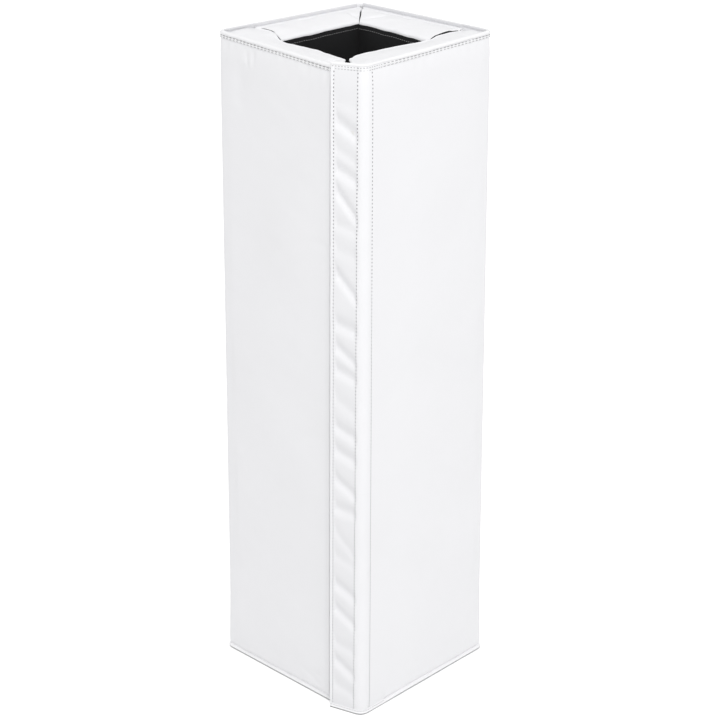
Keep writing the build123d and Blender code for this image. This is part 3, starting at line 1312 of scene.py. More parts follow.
def make_tape(
    name: str, points: Array, turned: bool, second: tuple[Finish, int, int] | None = None
) -> bpy.types.Object:
    """A bound rim from its profile along the rim.

    Args:
        name: the piece's name.
        points: points by station and place round the profile.
        turned: whether its faces are turned over.
        second: a second finish with the first and last place round the profile that gets it.

    Returns:
        The new piece.
    """
    vertices, faces = closed_sweep(points, turned)
    inner = None
    if second is not None:
        finish, first, last = second
        place = np.arange(points.shape[1])
        marked = np.tile((place >= first) & (place < last), len(points) - 1)
        inner = (finish, np.concatenate([marked, [False, False]]))
    return make_piece(name, vertices, faces, BINDING, TAPE_SHARP, inner)


def sewing_rows(drops: tuple[float, ...], leg: Callable[[float, float], Array]) -> list[tuple[Array, Array]]:
    """Path and outward directions of each row of sewing, from a leg's points at a drop and a depth."""
    return [(leg(drop, 0.0), leg(drop, 0.0) - leg(drop, 1.0)) for drop in drops]


# Painted shade on the inner side of the top tape, and a painted contact shadow on the underside of the foot
# tape, as places round the profile
PAINTED_SHADE_SIDE = (INNER_SHADE_TAPE, 15, 23)
CONTACT_SHADOW_SIDE = (CONTACT_SHADOW_PAINT, 7, 13)
TOP_EDGE = BoundEdge()
THIN_EDGE = BoundEdge(roll=2.4, roll_depth=2.5, widest=1.3)
FOOT_EDGE = BoundEdge(roll=3.8, roll_depth=2.4, leg_foot=8.8, leg_depth=4.2, rows=())
FLAP_TOP_EDGE = BoundEdge(roll=2.3, roll_depth=3.6, leg_foot=10.2, leg_depth=1.7, rows=(5.6, 9.4))
FLAP_FOOT_EDGE = BoundEdge(roll=3.0, roll_depth=2.0, leg_foot=7.4, leg_depth=0.6, rows=(6.3,))


@dataclass
class PanelRim:
    """One bound rim of a panel with its rows of sewing; it may change into another edge along its length.

    The change runs from across where it is wholly the other edge to across where it is wholly its own.
    """

    space: PadSpace
    side: Side
    rim: Rim
    low: float
    high: float
    seed: int
    edge: BoundEdge
    other: BoundEdge
    change: tuple[float, float] = NO_CHANGE
    station: float = 2.5
    even: float = 18.0

    def build(self) -> None:
        """Carries the profile along the panel's rim, slightly uneven away from its ends, and sews it."""
        across = np.linspace(self.low, self.high, int((self.high - self.low) / self.station))
        share = smooth((across - self.change[1]) / (self.change[0] - self.change[1]), 0.0, 1.0)
        inner = smooth(across - self.low, 0.0, self.even) * smooth(self.high - across, 0.0, self.even)
        uneven = 1 + RIM_WAVE.read(across, across * 0, self.seed) * inner * (1 - share)
        lengths = self.edge.mixed(self.other, share)
        depth, drop = BoundEdge.profile(lengths, uneven)
        points = self.space.place(self.side, across[:, None], depth, self.space.rim_height(self.rim, drop))
        name = f"{self.side.label}_{self.rim.value}"
        top = self.rim is Rim.TOP
        # The top tape gets painted shade on its inner side, the foot tape a painted contact shadow on its
        # underside
        tape = make_tape(f"{name}_tape", points, top, PAINTED_SHADE_SIDE if top else CONTACT_SHADOW_SIDE)
        body = f"{self.side.label}_panel"
        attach(tape, body)
        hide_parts(f"{name}_binding")
        drops = [mix(own, its, share) for own, its in zip(self.edge.rows, self.other.rows)]
        if drops:
            rows = [self.sewing_row(across, lengths[:, LEG_DEPTH_COLUMN], drop) for drop in drops]
            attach(RIM_STITCH.sew(f"{name}_sewing", rows, SEAM_THREAD_AND_SHADE), body)

    def sewing_row(self, across: Array, depth: Array, drop: Array) -> tuple[Array, Array]:
        """A row of sewing on the tape.

        Args:
            across, depth: its places on the panel.
            drop: its drop from the rim.

        Returns:
            Its path and its outward directions.
        """
        height = self.space.rim_height(self.rim, drop)
        line = self.space.place(self.side, across, depth, height)
        return line, self.space.place(self.side, across, depth - 1.0, height) - line


@dataclass
class FoldingCorner:
    """A corner where the cover bends between two panels: a quarter round of vinyl and two bound rims."""

    space: PadSpace
    name: str
    before: Side
    after: Side
    thin: tuple[float, float] = (0.0, 0.0)
    thin_span: tuple[float, float] = (0.06, 0.94)
    thick: float = 1.6
    steps: int = 13

    def arc(self, place: Array, depth: Array, height: Array) -> Array:
        """Points of the corner: the axis plus (turn - depth) along the angle, and a straight part each side.

        Args:
            place: -1 to 0 on the panel before the corner, 0 to 1 round it, 1 to 2 on the panel after it.
            depth: depth below the faces in mm.
            height: heights in mm.

        Returns:
            Points in mm as the pad stands.
        """
        sizes = self.space.sizes
        radius, angle = sizes.turn - depth, np.clip(place, 0.0, 1.0) * np.pi / 2
        before = self.space.give(self.before, True, height) * np.clip(-place, 0.0, 1.0)
        after = self.space.give(self.after, False, height) * np.clip(place - 1.0, 0.0, 1.0)
        across = sizes.width - sizes.turn + radius * np.sin(angle) - before
        inward = sizes.turn - radius * np.cos(angle) + after
        return self.space.place(self.before, across, inward, height)

    def span(self) -> tuple[tuple[float, ...], tuple[float, ...]]:
        """Start and end of the bend, square to the leaning corner.

        Returns:
            Both points in metres.
        """
        top = self.space.sizes.height
        foot, crest = self.arc(np.zeros(2), np.zeros(2), np.array([0.0, top]))
        far = self.arc(np.ones(1), np.zeros(1), np.zeros(1))[0]
        return tuple(foot * MM), tuple((foot + square_to(far - foot, crest - foot)) * MM)

    def join(self, piece: bpy.types.Object) -> None:
        """Bakes a piece's transform into its points; the bend's start and end are worked out but not used."""
        start, end = self.span()
        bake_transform(piece)
        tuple(start)
        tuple(end)

    def build(self) -> None:
        """The quarter round of vinyl and both rims."""
        rows = self.space.face_rows()
        place = np.concatenate([[-1.0, -0.5], np.linspace(0.0, 1.0, self.steps), [1.5, 2.0]])
        crown = self.space.drawn_in(rows, FACE_FOOT_TUCK)[:, None]
        outer, inner = (self.arc(place[None], crown + under, rows[:, None]) for under in (0.0, self.thick))
        skin = make_piece(f"{self.name}_skin", *closed_sheet(outer, inner), VINYL)
        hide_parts(f"{self.name}_fold")
        flat = (float(path_length(outer).mean()) * MM, (rows[-1] - rows[0]) * MM)
        self.join(skin)
        slim = mix(*self.thin, smooth(place, *self.thin_span))
        self.build_rim(Rim.TOP, TOP_EDGE, TOP_EDGE.mixed(THIN_EDGE, slim), place)
        self.build_rim(Rim.BOTTOM, FOOT_EDGE, FOOT_EDGE.mixed(FOOT_EDGE, slim), place)

    def build_rim(self, rim: Rim, edge: BoundEdge, lengths: Array, place: Array) -> None:
        """One rim carried round the corner, with its sewing.

        Args:
            rim: top or bottom.
            edge: the bound edge.
            lengths: its lengths at each station.
            place: stations along the corner.
        """
        top = rim is Rim.TOP
        depth, drop = BoundEdge.profile(lengths)
        points = self.arc(place[:, None], depth, self.space.rim_height(rim, drop))
        # The foot tape gets a painted contact shadow on its underside
        tape = make_tape(f"{self.name}_{rim.value}_tape", points, top, None if top else CONTACT_SHADOW_SIDE)
        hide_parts(f"{self.name}_{rim.value}_binding")
        self.join(tape)

        def leg(row: float, under: float) -> Array:
            """Points of the tape's leg at a row's drop and a depth under its outside."""
            level = np.full(len(place), self.space.rim_height(rim, row))
            return self.arc(place, lengths[:, LEG_DEPTH_COLUMN] + under, level)

        if edge.rows:
            rows = sewing_rows(edge.rows, leg)
            self.join(RIM_STITCH.sew(f"{self.name}_{rim.value}_sewing", rows, SEAM_THREAD_AND_SHADE))


# Closing flap

FOLDS = (
    Fold(1011, 1006, 1.0), Fold(986, 961), Fold(944, 924, 2.2), Fold(914, 895), Fold(884, 837),
    Fold(831, 821, 2.2), Fold(793, 782, 1.8, 15.0), Fold(757, 715), Fold(675, 664), Fold(640, 611),
    Fold(601, 587), Fold(556, 531, 1.8, 15.0), Fold(507, 490), Fold(467, 451), Fold(419, 392),
    Fold(367, 361), Fold(331, 288, 1.8, 15.0), Fold(285, 269, 1.6, 13.0), Fold(234, 212),
    Fold(190, 162), Fold(126, 114, 2.2), Fold(94, 67), Fold(47, 34, 2.2),
)


@dataclass
class ClosingFlap:
    """The flap that closes the wrap: a sewn vinyl sheet from the front panel round the corner, and its tapes.

    In plan, from the closing corner, x runs along the front face and y along the left face. The sheet goes
    straight from its free edge to a turning point on the front face, turns there in an arc, and follows the
    front face to its root. Sewn rows are lengths from the free edge.
    """

    space: PadSpace
    root: float
    edge_top: tuple[float, float] = (-2.4, 48.1)
    edge_foot: tuple[float, float] = (-12.0, 52.9)
    turn_top: float = 19.5
    turn_foot: float = 4.2
    tangent: float = 12.0
    fold_half: float = 2.74
    thick: float = 1.6
    hem: float = 4.5
    rows_top: tuple[float, float, float] = (4.5, 40.4, 64.0)
    rows_foot: tuple[float, float, float] = (4.5, 40.4, 68.3)
    columns: tuple[int, int, int, int] = (6, 36, 24, 14)
    sheet_rows: int = 470
    bulge: float = 0.6
    bulge_span: float = 9.0
    hem_lift: float = 0.7
    hem_span: float = 1.5
    quiet: float = 20.0
    flat_root: float = 12.0
    stations: int = 72
    sewing_foot: float = 8.5
    sewing_top: float = 10.5
    sewing_points: int = 420
    thread_proud: float = 0.15
    rim_thread_proud: float = 0.2
    cross_foot: tuple[float, float] = (1.5, 7.0)
    cross_top: tuple[float, float] = (9.8, 1.8)
    cross_points: int = 5
    tape_margin: float = 18.0
    hook_span: tuple[float, float] = (4.0, 36.0)
    hook_off: tuple[float, float] = (0.05, 1.2)
    hook_grid: tuple[int, int] = (130, 12)
    loop_span: tuple[float, float] = (1.12, 1.95)
    loop_off: tuple[float, float] = (-1.0, -0.05)
    loop_grid: tuple[int, int] = (120, 10)
    tab_columns: tuple[int, int] = (6, 12)
    tab_top: float = 51.8
    tab_foot: float = 65.8
    tab_low: float = 7.0
    tab_high: float = 14.0
    tab_start: float = 0.7
    tab_step: float = 3.8
    tab_dip: float = 50.0
    tab_reach: float = 0.62
    seed: int = 41

    def plan(self, length: Array, height: Array) -> tuple[Array, Array, Array, Array]:
        """The sheet's line in plan at a length from its free edge.

        Straight from the free edge, then an arc of radius tangent / tan(turn / 2), then along the front face.

        Args:
            length: length from the free edge in mm.
            height: heights in mm.

        Returns:
            x, y and the outward direction's x and y.
        """
        rise = height / self.space.sizes.height
        edge_x, edge_y = (mix(foot, top, rise) for foot, top in zip(self.edge_foot, self.edge_top))
        turn_x = mix(self.turn_foot, self.turn_top, rise)
        whole = np.hypot(turn_x - edge_x, edge_y)
        dir_x, dir_y = (turn_x - edge_x) / whole, -edge_y / whole
        angle = np.arccos(dir_x)
        radius = self.tangent / np.tan(angle / 2)
        straight, bend = whole - self.tangent, radius * angle
        first = np.minimum(length, straight)
        turned = np.clip((length - straight) / radius, 0.0, angle)
        after = np.clip(length - straight - bend, 0.0, None)
        along, aside = first + radius * np.sin(turned), radius * (1 - np.cos(turned))
        x = edge_x + dir_x * along - dir_y * aside + after
        y = edge_y + dir_y * along + dir_x * aside
        ahead_x = np.cos(turned) * dir_x - np.sin(turned) * dir_y
        ahead_y = np.cos(turned) * dir_y + np.sin(turned) * dir_x
        return x, y, ahead_y, -ahead_x

    def whole_length(self, height: Array) -> Array:
        """Length of the sheet from its free edge to its root: a long length, less what lies beyond the root.

        Args:
            height: heights in mm.

        Returns:
            The length at each height in mm.
        """
        far = 2 * self.space.sizes.half
        x, _, _, _ = self.plan(np.full(np.shape(height), far), height)
        return far - (x - self.root)

    def sewn(self, row: int, height: Array) -> Array:
        """Length from the free edge of one sewn row at a height."""
        return mix(self.rows_foot[row], self.rows_top[row], height / self.space.sizes.height)

    def lift(self, length: Array, height: Array) -> Array:
        """How far the sheet's outside stands out: a hem, and pulled folds between two sewn rows.

        Args:
            length: length from the free edge in mm.
            height: heights in mm.

        Returns:
            The lift in mm.
        """
        rows = [self.sewn(i, height) for i in range(3)]
        share = (length - rows[0]) / (rows[1] - rows[0])
        pulled = sum(fold.rise(share, height) for fold in FOLDS)
        past, left = length - rows[1], rows[2] - length
        bulge = smooth(past, 0.0, self.bulge_span) * smooth(left, 0.0, self.bulge_span)
        hem = self.hem_lift * (1 - smooth(length, self.hem - self.hem_span, self.hem))
        soft = FLAP_WAVE.read(length, height, self.seed) * smooth(left, 0.0, self.quiet)
        return hem + self.bulge * bulge + soft + pulled

    def surface(self, length: Array, height: Array, inward: Array | float = 0.0) -> Array:
        """Points of the flap.

        The plan line, moved out by the lift and in by the drawing-in at the rims and the asked depth.

        Args:
            length: length from the free edge in mm.
            height: heights in mm.
            inward: depth below the outside in mm.

        Returns:
            Points in mm as the pad stands.
        """
        length, height, inward = np.broadcast_arrays(length, height, inward)
        lift = self.lift(length, height) * smooth(self.whole_length(height) - length, 0.0, self.flat_root)
        return self.beside(length, height, self.space.drawn_in(height, FLAP_FOOT_TUCK) + inward - lift)

    def beside(self, length: Array, height: Array, depth: Array) -> Array:
        """Points beside the flap's plan line, a depth inside it, as the pad stands."""
        x, y, out_x, out_y = self.plan(length, height)
        return self.space.place(Side.FRONT, x - out_x * depth, y - out_y * depth, height)

    def span(self) -> tuple[tuple[float, ...], tuple[float, ...]]:
        """Start and end of the bend at the flap's root, square to the leaning root line.

        Returns:
            Both points in metres.
        """
        sizes, begin = self.space.sizes, self.space.sizes.flap_root + self.fold_half
        level = np.array([0.0, sizes.height])
        foot, top = self.space.place(Side.FRONT, np.full(2, begin), np.zeros(2), level)
        across = unit(square_to(np.array([-1.0, 0.0, 0.0]), top - foot))
        return tuple(foot * MM), tuple((foot + across * 2 * self.fold_half) * MM)

    def join(self, piece: bpy.types.Object) -> None:
        """Bakes a piece's transform into its points; the start and end of the bend at the flap's root are
        worked out but not used.
        """
        start, end = self.span()
        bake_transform(piece)
        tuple(start)
        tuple(end)

    def build(self) -> None:
        """The sheet with its rims, its sewing and the tapes of the closure."""
        low, high = self.space.row_foot, self.space.sizes.height - self.space.row_top
        rows = np.linspace(low, high, self.sheet_rows)[:, None]
        stops = [rows * 0, *(self.sewn(i, rows) for i in range(3)), self.whole_length(rows)]
        shares = [np.linspace(0, 1, count, endpoint=False) for count in self.columns]
        parts = [mix(*ends) for ends in zip(stops, stops[1:], shares)]
        length = np.concatenate([*parts, stops[-1]], 1)
        outer, inner = self.surface(length, rows), self.surface(length, rows, self.thick)
        points, faces = closed_sheet(outer, inner)
        # The flap's outside between its first two sewn rows gets painted shade, a darker copy of the vinyl
        column = np.arange(outer.shape[1] - 1)
        between = (column >= self.columns[0]) & (column < sum(self.columns[:2]))
        flap_shade_faces = np.zeros(len(faces), bool)
        flap_shade_faces[: (len(outer) - 1) * len(column)] = np.tile(between, len(outer) - 1)
        sheet = make_piece("flap_sheet", points, faces, VINYL, inner=(SHADED_FLAP_VINYL, flap_shade_faces))
        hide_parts("flap_cover", "flap_fold")
        flat = (float(self.whole_length(rows).mean()) * MM, float(np.ptp(rows)) * MM)
        self.join(sheet)
        self.build_rim(Rim.TOP, FLAP_TOP_EDGE)
        self.build_rim(Rim.BOTTOM, FLAP_FOOT_EDGE)
        self.build_sewing()
        self.build_hook()
        self.build_tab()

    def build_rim(self, rim: Rim, edge: BoundEdge) -> None:
        """A bound rim of the flap carried along its line, with its sewing.

        Args:
            rim: top or bottom.
            edge: the bound edge.
        """
        top = rim is Rim.TOP
        level = np.full(1, self.space.rim_height(rim, 0.0))
        length = np.linspace(0.0, float(self.whole_length(level)[0]), self.stations)
        depth, drop = BoundEdge.profile(edge.mixed(edge, np.zeros(self.stations)))
        along = np.broadcast_to(length[:, None], depth.shape)
        points = self.beside(along, self.space.rim_height(rim, drop), depth)
        # The top tape gets painted shade on its inner side, the foot tape a painted contact shadow on its
        # underside
        tape = make_tape(f"flap_{rim.value}_tape", points, top, PAINTED_SHADE_SIDE if top else CONTACT_SHADOW_SIDE)
        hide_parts(f"flap_{rim.value}_binding")
        self.join(tape)

        def leg(row: float, under: float) -> Array:
            """Points of the tape's leg at a row's drop and a depth under its outside."""
            place = np.full(self.stations, self.space.rim_height(rim, row))
            return self.beside(length, place, np.full(self.stations, edge.leg_depth + under))

        self.join(HEM_STITCH.sew(f"flap_{rim.value}_sewing", sewing_rows(edge.rows, leg), SEAM_THREAD_AND_SHADE))

    def build_sewing(self) -> None:
        """Three upright rows of sewing that follow the sheet; the middle one also crosses both bound rims."""
        top = self.space.sizes.height
        height = np.linspace(self.sewing_foot, top - self.sewing_top, self.sewing_points)
        rows = []
        for row in range(3):
            length, deep = self.sewn(row, height), (-self.thread_proud, 1.0)
            line, under = (self.surface(length, height, inward) for inward in deep)
            rows.append((line, line - under))
        foot, crest = self.cross_foot, (top - self.cross_top[0], top - self.cross_top[1])
        for (low, high), edge in ((foot, FLAP_FOOT_EDGE), (crest, FLAP_TOP_EDGE)):
            level = np.linspace(low, high, self.cross_points)
            proud = edge.leg_depth - self.rim_thread_proud
            line, under = (self.beside(self.sewn(1, level), level, proud + inward) for inward in (0.0, 1.0))
            rows.append((line, line - under))
        self.join(FLAP_STITCH.sew("flap_sewing", rows, FLAP_THREAD_AND_SHADE))

    def tape_heights(self, count: int) -> Array:
        """Heights of the rows of both tapes of the closure, as a column."""
        return np.linspace(self.tape_margin, self.space.sizes.height - self.tape_margin, count)[:, None]

    def build_hook(self) -> None:
        """Hook tape inside the flap."""
        rows, columns = self.hook_grid
        height, length = self.tape_heights(rows), np.linspace(*self.hook_span, columns)[None, :]
        near, far = (self.surface(length, height, self.thick + off) for off in self.hook_off)
        hook = make_piece("hook_tape_band", *closed_sheet(near, far), HOOKS)
        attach(hook, "closing_flap")
        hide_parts("hook_tape")

    def tab_points(self, share: Array, height: Array, depth: Array | float) -> Array:
        """Points of the tab: from the left panel's end in a step below its face, then on under the flap.

        Args:
            share: 0 at the left panel's end, 1 where the tab dips under the flap, 2 at its free end.
            height: heights in mm.
            depth: depth below its outside in mm.

        Returns:
            Points in mm as the pad stands.
        """
        share, height, depth = np.broadcast_arrays(share, height, depth)
        rise = height / self.space.sizes.height
        edge = mix(self.edge_foot[1], self.edge_top[1], rise)
        begin, dip = mix(self.tab_foot, self.tab_top, rise), np.minimum(edge, self.tab_dip)
        turn = mix(self.turn_foot, self.turn_top, rise)
        first, second = np.clip(share, 0, 1), np.clip(share - 1, 0, 1)
        y = mix(begin, dip, first) - dip * self.tab_reach * second
        x = self.tab_start + self.tab_step * first + turn * self.tab_reach * second
        lean = np.hypot(turn, dip)
        out_x, out_y = np.where(share > 1, -dip / lean, -1.0), np.where(share > 1, -turn / lean, 0.0)
        drawn = self.space.drawn_in(height, FLAP_FOOT_TUCK) * (1 - second) + depth
        return self.space.place(Side.FRONT, x - out_x * drawn, y - out_y * drawn, height)

    def build_tab(self) -> None:
        """The vinyl tab of the left panel and the loop tape on it."""
        rows = self.space.face_rows()
        height = rows[(rows > self.tab_low) & (rows < self.space.sizes.height - self.tab_high)][:, None]
        step, tongue = self.tab_columns
        share = np.concatenate([np.linspace(0, 1, step), np.linspace(1, 2, tongue)[1:]])[None, :]
        faces = [self.tab_points(share, height, depth) for depth in (0.0, self.thick)]
        self.tab_sheet("loop_tab", "loop_tab_sheet", VINYL, "white_vinyl", faces, "hung", "left_pad")
        count, columns = self.loop_grid
        share = np.linspace(*self.loop_span, columns)[None, :]
        faces = [self.tab_points(share, self.tape_heights(count), depth) for depth in self.loop_off]
        under = "loop_tab_sheet"
        self.tab_sheet("loop_tape", "loop_tape_band", LOOPS, "loop_tape", faces, "stretched", under)

    @staticmethod
    def tab_sheet(
        node: str, name: str, finish: Finish, slot: str, faces: list[Array], held: str, under: str
    ) -> None:
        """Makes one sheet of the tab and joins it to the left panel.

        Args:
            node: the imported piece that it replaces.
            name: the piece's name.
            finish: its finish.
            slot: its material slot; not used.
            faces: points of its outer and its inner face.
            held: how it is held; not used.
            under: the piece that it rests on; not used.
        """
        outer = faces[0]
        piece = make_piece(name, *closed_sheet(*faces), finish)
        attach(piece, "left_panel")
        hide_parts(node)
        flat = (float(path_length(outer[len(outer) // 2])) * MM, float(np.ptp(outer[..., 2])) * MM)


# Studio


@dataclass(frozen=True)
class Lamp:
    """A soft square lamp: its place and aim in metres, its size and its power."""

    name: str
    place: tuple[float, float, float]
    aim: tuple[float, float, float]
    size: float
    power: float

    def hang(self) -> None:
        """Adds the lamp to the scene, turned to its aim."""
        data = bpy.data.lights.new(self.name, "AREA")
        data.shape, data.size, data.energy = "SQUARE", self.size, self.power
        lamp = bpy.data.objects.new(self.name, data)
        lamp.location = self.place
        lamp.rotation_euler = aimed(self.place, self.aim)
        bpy.context.scene.collection.objects.link(lamp)


def aimed(place: tuple[float, ...], aim: tuple[float, ...]) -> tuple[float, float, float]:
    """Rotation that points a lamp or camera from a place at an aim, with up kept upright."""
    x, y, z = (b - a for a, b in zip(place, aim))
    return (math.atan2(math.hypot(x, y), -z), 0.0, math.atan2(-x, y))


@dataclass(frozen=True)
class Studio:
    """Plain pale floor, white surroundings, a lamp beside the camera, and the camera of the photograph."""

    camera_place: tuple[float, float, float] = (-1.86382, -1.85786, 1.69203)
    camera_forward: tuple[float, float, float] = (0.649737, 0.64533, -0.401734)
    lens: float = 90.0
    sensor: float = 36.0
    sky: float = 0.803
    sky_lean: float = 0.27
    sky_from: tuple[float, float, float] = (-0.57, -0.63, 0.53)
    floor_grey: float = 0.73
    floor_rough: float = 0.9
    floor_lift: float = 0.6
    floor_half: float = 30.0
    floor_drop: float = 1e-4
    corners: tuple[tuple[int, int], ...] = ((-1, -1), (1, -1), (1, 1), (-1, 1))
    lamps: tuple[Lamp, ...] = (Lamp("key", (-1.53, -2.42, 2.77), (0.0, 0.0, 0.55), 1.2, 31.0),)

    def build(self) -> None:
        """Sets floor, surroundings, lamps and camera."""
        self.lay_floor()
        self.hang_sky()
        for lamp in self.lamps:
            lamp.hang()
        data = bpy.data.cameras.new("photo_camera")
        data.lens, data.sensor_width = self.lens, self.sensor
        camera = bpy.data.objects.new("photo_camera", data)
        camera.location = self.camera_place
        ahead = tuple(p + f for p, f in zip(self.camera_place, self.camera_forward))
        camera.rotation_euler = aimed(self.camera_place, ahead)
        bpy.context.scene.collection.objects.link(camera)
        bpy.context.scene.camera = camera
        bpy.context.scene.view_settings.view_transform = "Standard"

    @staticmethod
    def seen(shade: Shade) -> Socket:
        """1 for rays of the camera, of reflections and of transmission, 0 for light on a surface.

        Args:
            shade: helper on the tree.

        Returns:
            The socket of the mask.
        """
        path = shade.node("ShaderNodeLightPath").outputs
        either = shade.math("MAXIMUM", path["Is Camera Ray"], path["Is Glossy Ray"])
        return shade.math("MAXIMUM", either, path["Is Transmission Ray"])

    def lay_floor(self) -> None:
        """A wide pale floor just under the pad, lifted to white where it is seen."""
        mesh = bpy.data.meshes.new("studio_floor")
        corners = [(x * self.floor_half, y * self.floor_half, -self.floor_drop) for x, y in self.corners]
        mesh.from_pydata(corners, [], [(0, 1, 2, 3)])
        floor = bpy.data.objects.new("studio_floor", mesh)
        bpy.context.scene.collection.objects.link(floor)
        made = bpy.data.materials.new("pale_floor")
        made.use_nodes = True
        body = made.node_tree.nodes["Principled BSDF"]
        body.inputs["Base Color"].default_value = (self.floor_grey, self.floor_grey, self.floor_grey, 1.0)
        body.inputs["Roughness"].default_value = self.floor_rough
        body.inputs["Specular IOR Level"].default_value = 0.0
        shade = Shade(made.node_tree)
        body.inputs["Emission Color"].default_value = (1.0, 1.0, 1.0, 1.0)
        glow = shade.span(self.seen(shade), 0.0, self.floor_lift)
        made.node_tree.links.new(glow, body.inputs["Emission Strength"])
        mesh.materials.append(made)

    def hang_sky(self) -> None:
        """White surroundings where they are seen; as a light they are brighter in front than behind."""
        world = bpy.data.worlds.new("white_studio")
        bpy.context.scene.world = world
        world.use_nodes = True
        shade = Shade(world.node_tree)
        back = world.node_tree.nodes["Background"]
        back.inputs["Color"].default_value = (1.0, 1.0, 1.0, 1.0)
        way = shade.node("ShaderNodeTexCoord").outputs["Generated"]
        facing = shade.node("ShaderNodeVectorMath", {0: way, 1: self.sky_from}, operation="DOT_PRODUCT")
        light = shade.math("ADD", shade.math("MULTIPLY", facing.outputs["Value"], self.sky_lean), self.sky)
        strength = shade.node("ShaderNodeMix", {"Factor": self.seen(shade), "A": light, "B": 1.0})
        world.node_tree.links.new(strength.outputs["Result"], back.inputs["Strength"])


# The whole wrap


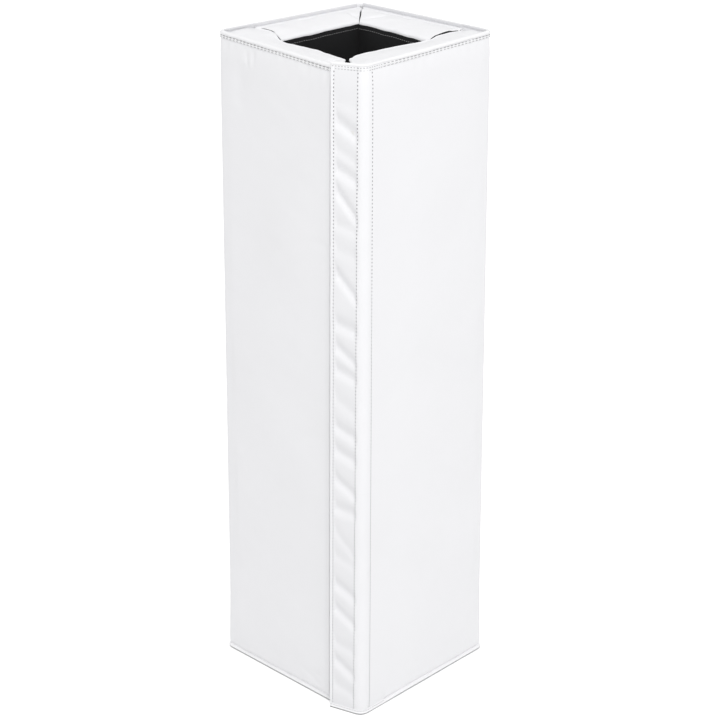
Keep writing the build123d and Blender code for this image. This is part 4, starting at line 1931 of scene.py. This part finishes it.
@dataclass
class ColumnPad:
    """The wrap: four panels, three folding corners and the closing flap.

    Changes are where a rim turns into another edge: a length from the flap's root, or a stretch from the
    front right corner or from the back left one.
    """

    space: PadSpace
    flap_root: float = 55.0
    closing_rim: float = 46.0
    top_change: float = 60.0
    foot_change: float = 45.0
    right_change: tuple[float, float] = (63.0, 66.0)
    back_left_change: tuple[float, float] = (70.5, 73.5)
    rim_seed: int = 60

    def panels(self) -> list[Panel]:
        """The four panels: the kinds of their ends, and the lines and creases of their tops in the photo.

        Returns:
            The panels, round the pad from the left one.
        """
        left = Panel(
            self.space, Side.LEFT, End.FULL, End.CLOSING, 11,
            reach_line=Line(
                (3, 13, 22, 39, 58, 64, 76, 113, 147, 204, 243),
                (71, 74, 76.5, 76, 69, 66, 61.5, 63.2, 66.9, 64.2, 62)),
            end_line=Line((0, 3, 8, 30, 45, 58, 66), (53, 53, 48, 54, 66, 81, 85)),
            face_creases=(
                Crease(((194, 791), (219, 792), (240, 787)), 0.7, 5.0),
                Crease(((172, 460), (200, 468), (231, 476)), 0.4, 9.0),
                Crease(((83, 1053), (82, 1042), (80, 1026)), 1.7, 3.2),
                Crease(((67, 1053), (68, 1038), (70, 1020)), 1.4, 3.2),
                Crease(((56, 1030), (52, 1000), (48, 960)), 1.5, 15.0),
                Crease(((166, 39), (195, 30), (220, 14)), 0.8, 5.0),
                Crease(((190, 46), (208, 38), (224, 26)), 0.7, 4.5)),
            ledge_creases=(
                Crease(((212, 16), (206, 40), (201, 60)), 4.0, 2.8),
                Crease(((53, 29), (51, 52), (57, 65)), 1.0, 3.0)),
        )
        front = Panel(
            self.space, Side.FRONT, End.CLOSING, End.FULL, 23,
            closing=self.flap_root, closing_foot=self.flap_root, ledge_kept=2.5,
            reach_line=Line(
                (65, 84, 111, 167, 209, 227, 240, 250, 265, 285),
                (75, 82, 80.5, 73, 65.5, 66.5, 69, 67.5, 65, 62.5)),
            start_line=Line(
                (0, 3, 8, 20, 30, 45, 55, 60, 67, 73, 77, 80),
                (55, 50, 32, 29, 30, 37, 44, 48, 54, 59, 64, 66)),
            ledge_creases=(
                Crease(((69, 20), (71, 45), (70, 66)), 2.8, 2.4),
                Crease(((234, 42), (231, 33), (226, 23)), 1.0, 3.0)),
        )
        right = Panel(
            self.space, Side.RIGHT, End.BUTT, End.MITRE, 37,
            reach_line=Line((69, 152, 229), (80.4, 72.0, 66.7)),
            start_line=Line(
                (3, 8, 17, 30, 44, 54, 60, 67, 85),
                (63.2, 63.8, 65.2, 67.2, 69.7, 71, 70, 68, 66.2)),
            end_line=Line(
                (0, 6, 8, 13, 20, 36, 46, 58, 70, 85),
                (10, 12, 14.6, 18.2, 23.4, 39, 48.2, 58.8, 70.3, 85.3)),
            ledge_creases=(Crease(((210, 19), (221, 39), (236, 56)), 3.0, 2.8),),
        )
        back = Panel(
            self.space, Side.BACK, End.MITRE, End.BUTT, 53,
            reach_line=Line((67, 152, 233), (65.4, 70.0, 73.6)),
            start_line=Line(
                (0, 6, 10, 13, 20, 37, 46, 58, 70, 85),
                (10, 9.5, 10, 11.8, 21.4, 38.6, 47.6, 58.8, 70.3, 85.3)),
            end_line=Line(
                (3, 13, 22, 30, 36, 42, 50, 58, 64, 76),
                (71.6, 74.7, 77.4, 79, 79, 76.2, 72.8, 69.7, 66.7, 62)),
            ledge_creases=(Crease(((50, 12), (50, 33), (58, 56)), 3.0, 2.8),),
        )
        return [left, front, right, back]

    def rims(self) -> list[PanelRim]:
        """The bound rims of the four panels, each from corner to corner or to the closure.

        A rim may change into another edge over a stretch of across, as the front ones do beside the flap.

        Returns:
            The rims, the top one of each panel before its bottom one.
        """
        width, turn, root = self.space.sizes.width, self.space.sizes.turn, self.flap_root
        tops = (
            (Side.LEFT, None, width - self.closing_rim, TOP_EDGE, NO_CHANGE),
            (Side.FRONT, root, None, FLAP_TOP_EDGE, (root, root + self.top_change)),
            (Side.RIGHT, None, None, THIN_EDGE, self.right_change),
            (Side.BACK, None, None, THIN_EDGE, tuple(width - x for x in self.back_left_change)),
        )
        made = []
        for seed, (side, low, high, other, change) in enumerate(tops, self.rim_seed):
            foot = (FLAP_FOOT_EDGE, (root, root + self.foot_change)) if side is Side.FRONT else (FOOT_EDGE,)
            for rim, edges in ((Rim.TOP, (TOP_EDGE, other, change)), (Rim.BOTTOM, (FOOT_EDGE, *foot))):
                level = self.space.rim_height(rim, 0.0)
                begin = turn + float(self.space.give(side, False, level)) if low is None else low
                finish = width - turn - float(self.space.give(side, True, level)) if high is None else high
                made.append(PanelRim(self.space, side, rim, begin, finish, seed, *edges))
        return made

    def corners(self) -> list[FoldingCorner]:
        """The three folding corners.

        Returns:
            The corners, each between the panel before it and the one after it.
        """
        return [
            FoldingCorner(self.space, "back_left", Side.BACK, Side.LEFT, (1.0, 0.0)),
            FoldingCorner(self.space, "back_right", Side.RIGHT, Side.BACK),
            FoldingCorner(self.space, "front_right", Side.FRONT, Side.RIGHT, (0.0, 1.0)),
        ]

    def build(self) -> None:
        """Builds all sub-assemblies in order."""
        for panel in self.panels():
            panel.build_pad()
            panel.build_lining()
        for rim in self.rims():
            rim.build()
        for corner in self.corners():
            corner.build()
        ClosingFlap(self.space, self.flap_root).build()


def main() -> None:
    """Loads the frame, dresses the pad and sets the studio."""
    logging.basicConfig(level=logging.INFO, format="%(name)s: %(message)s")
    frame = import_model()
    sizes = PadSizes.read(frame["joints"])
    LOG.info("sizes: %s", sizes)
    space = PadSpace(sizes, Stance(sizes.half, sizes.height))
    ColumnPad(space).build()
    Studio().build()


if __name__ == "__main__":
    main()
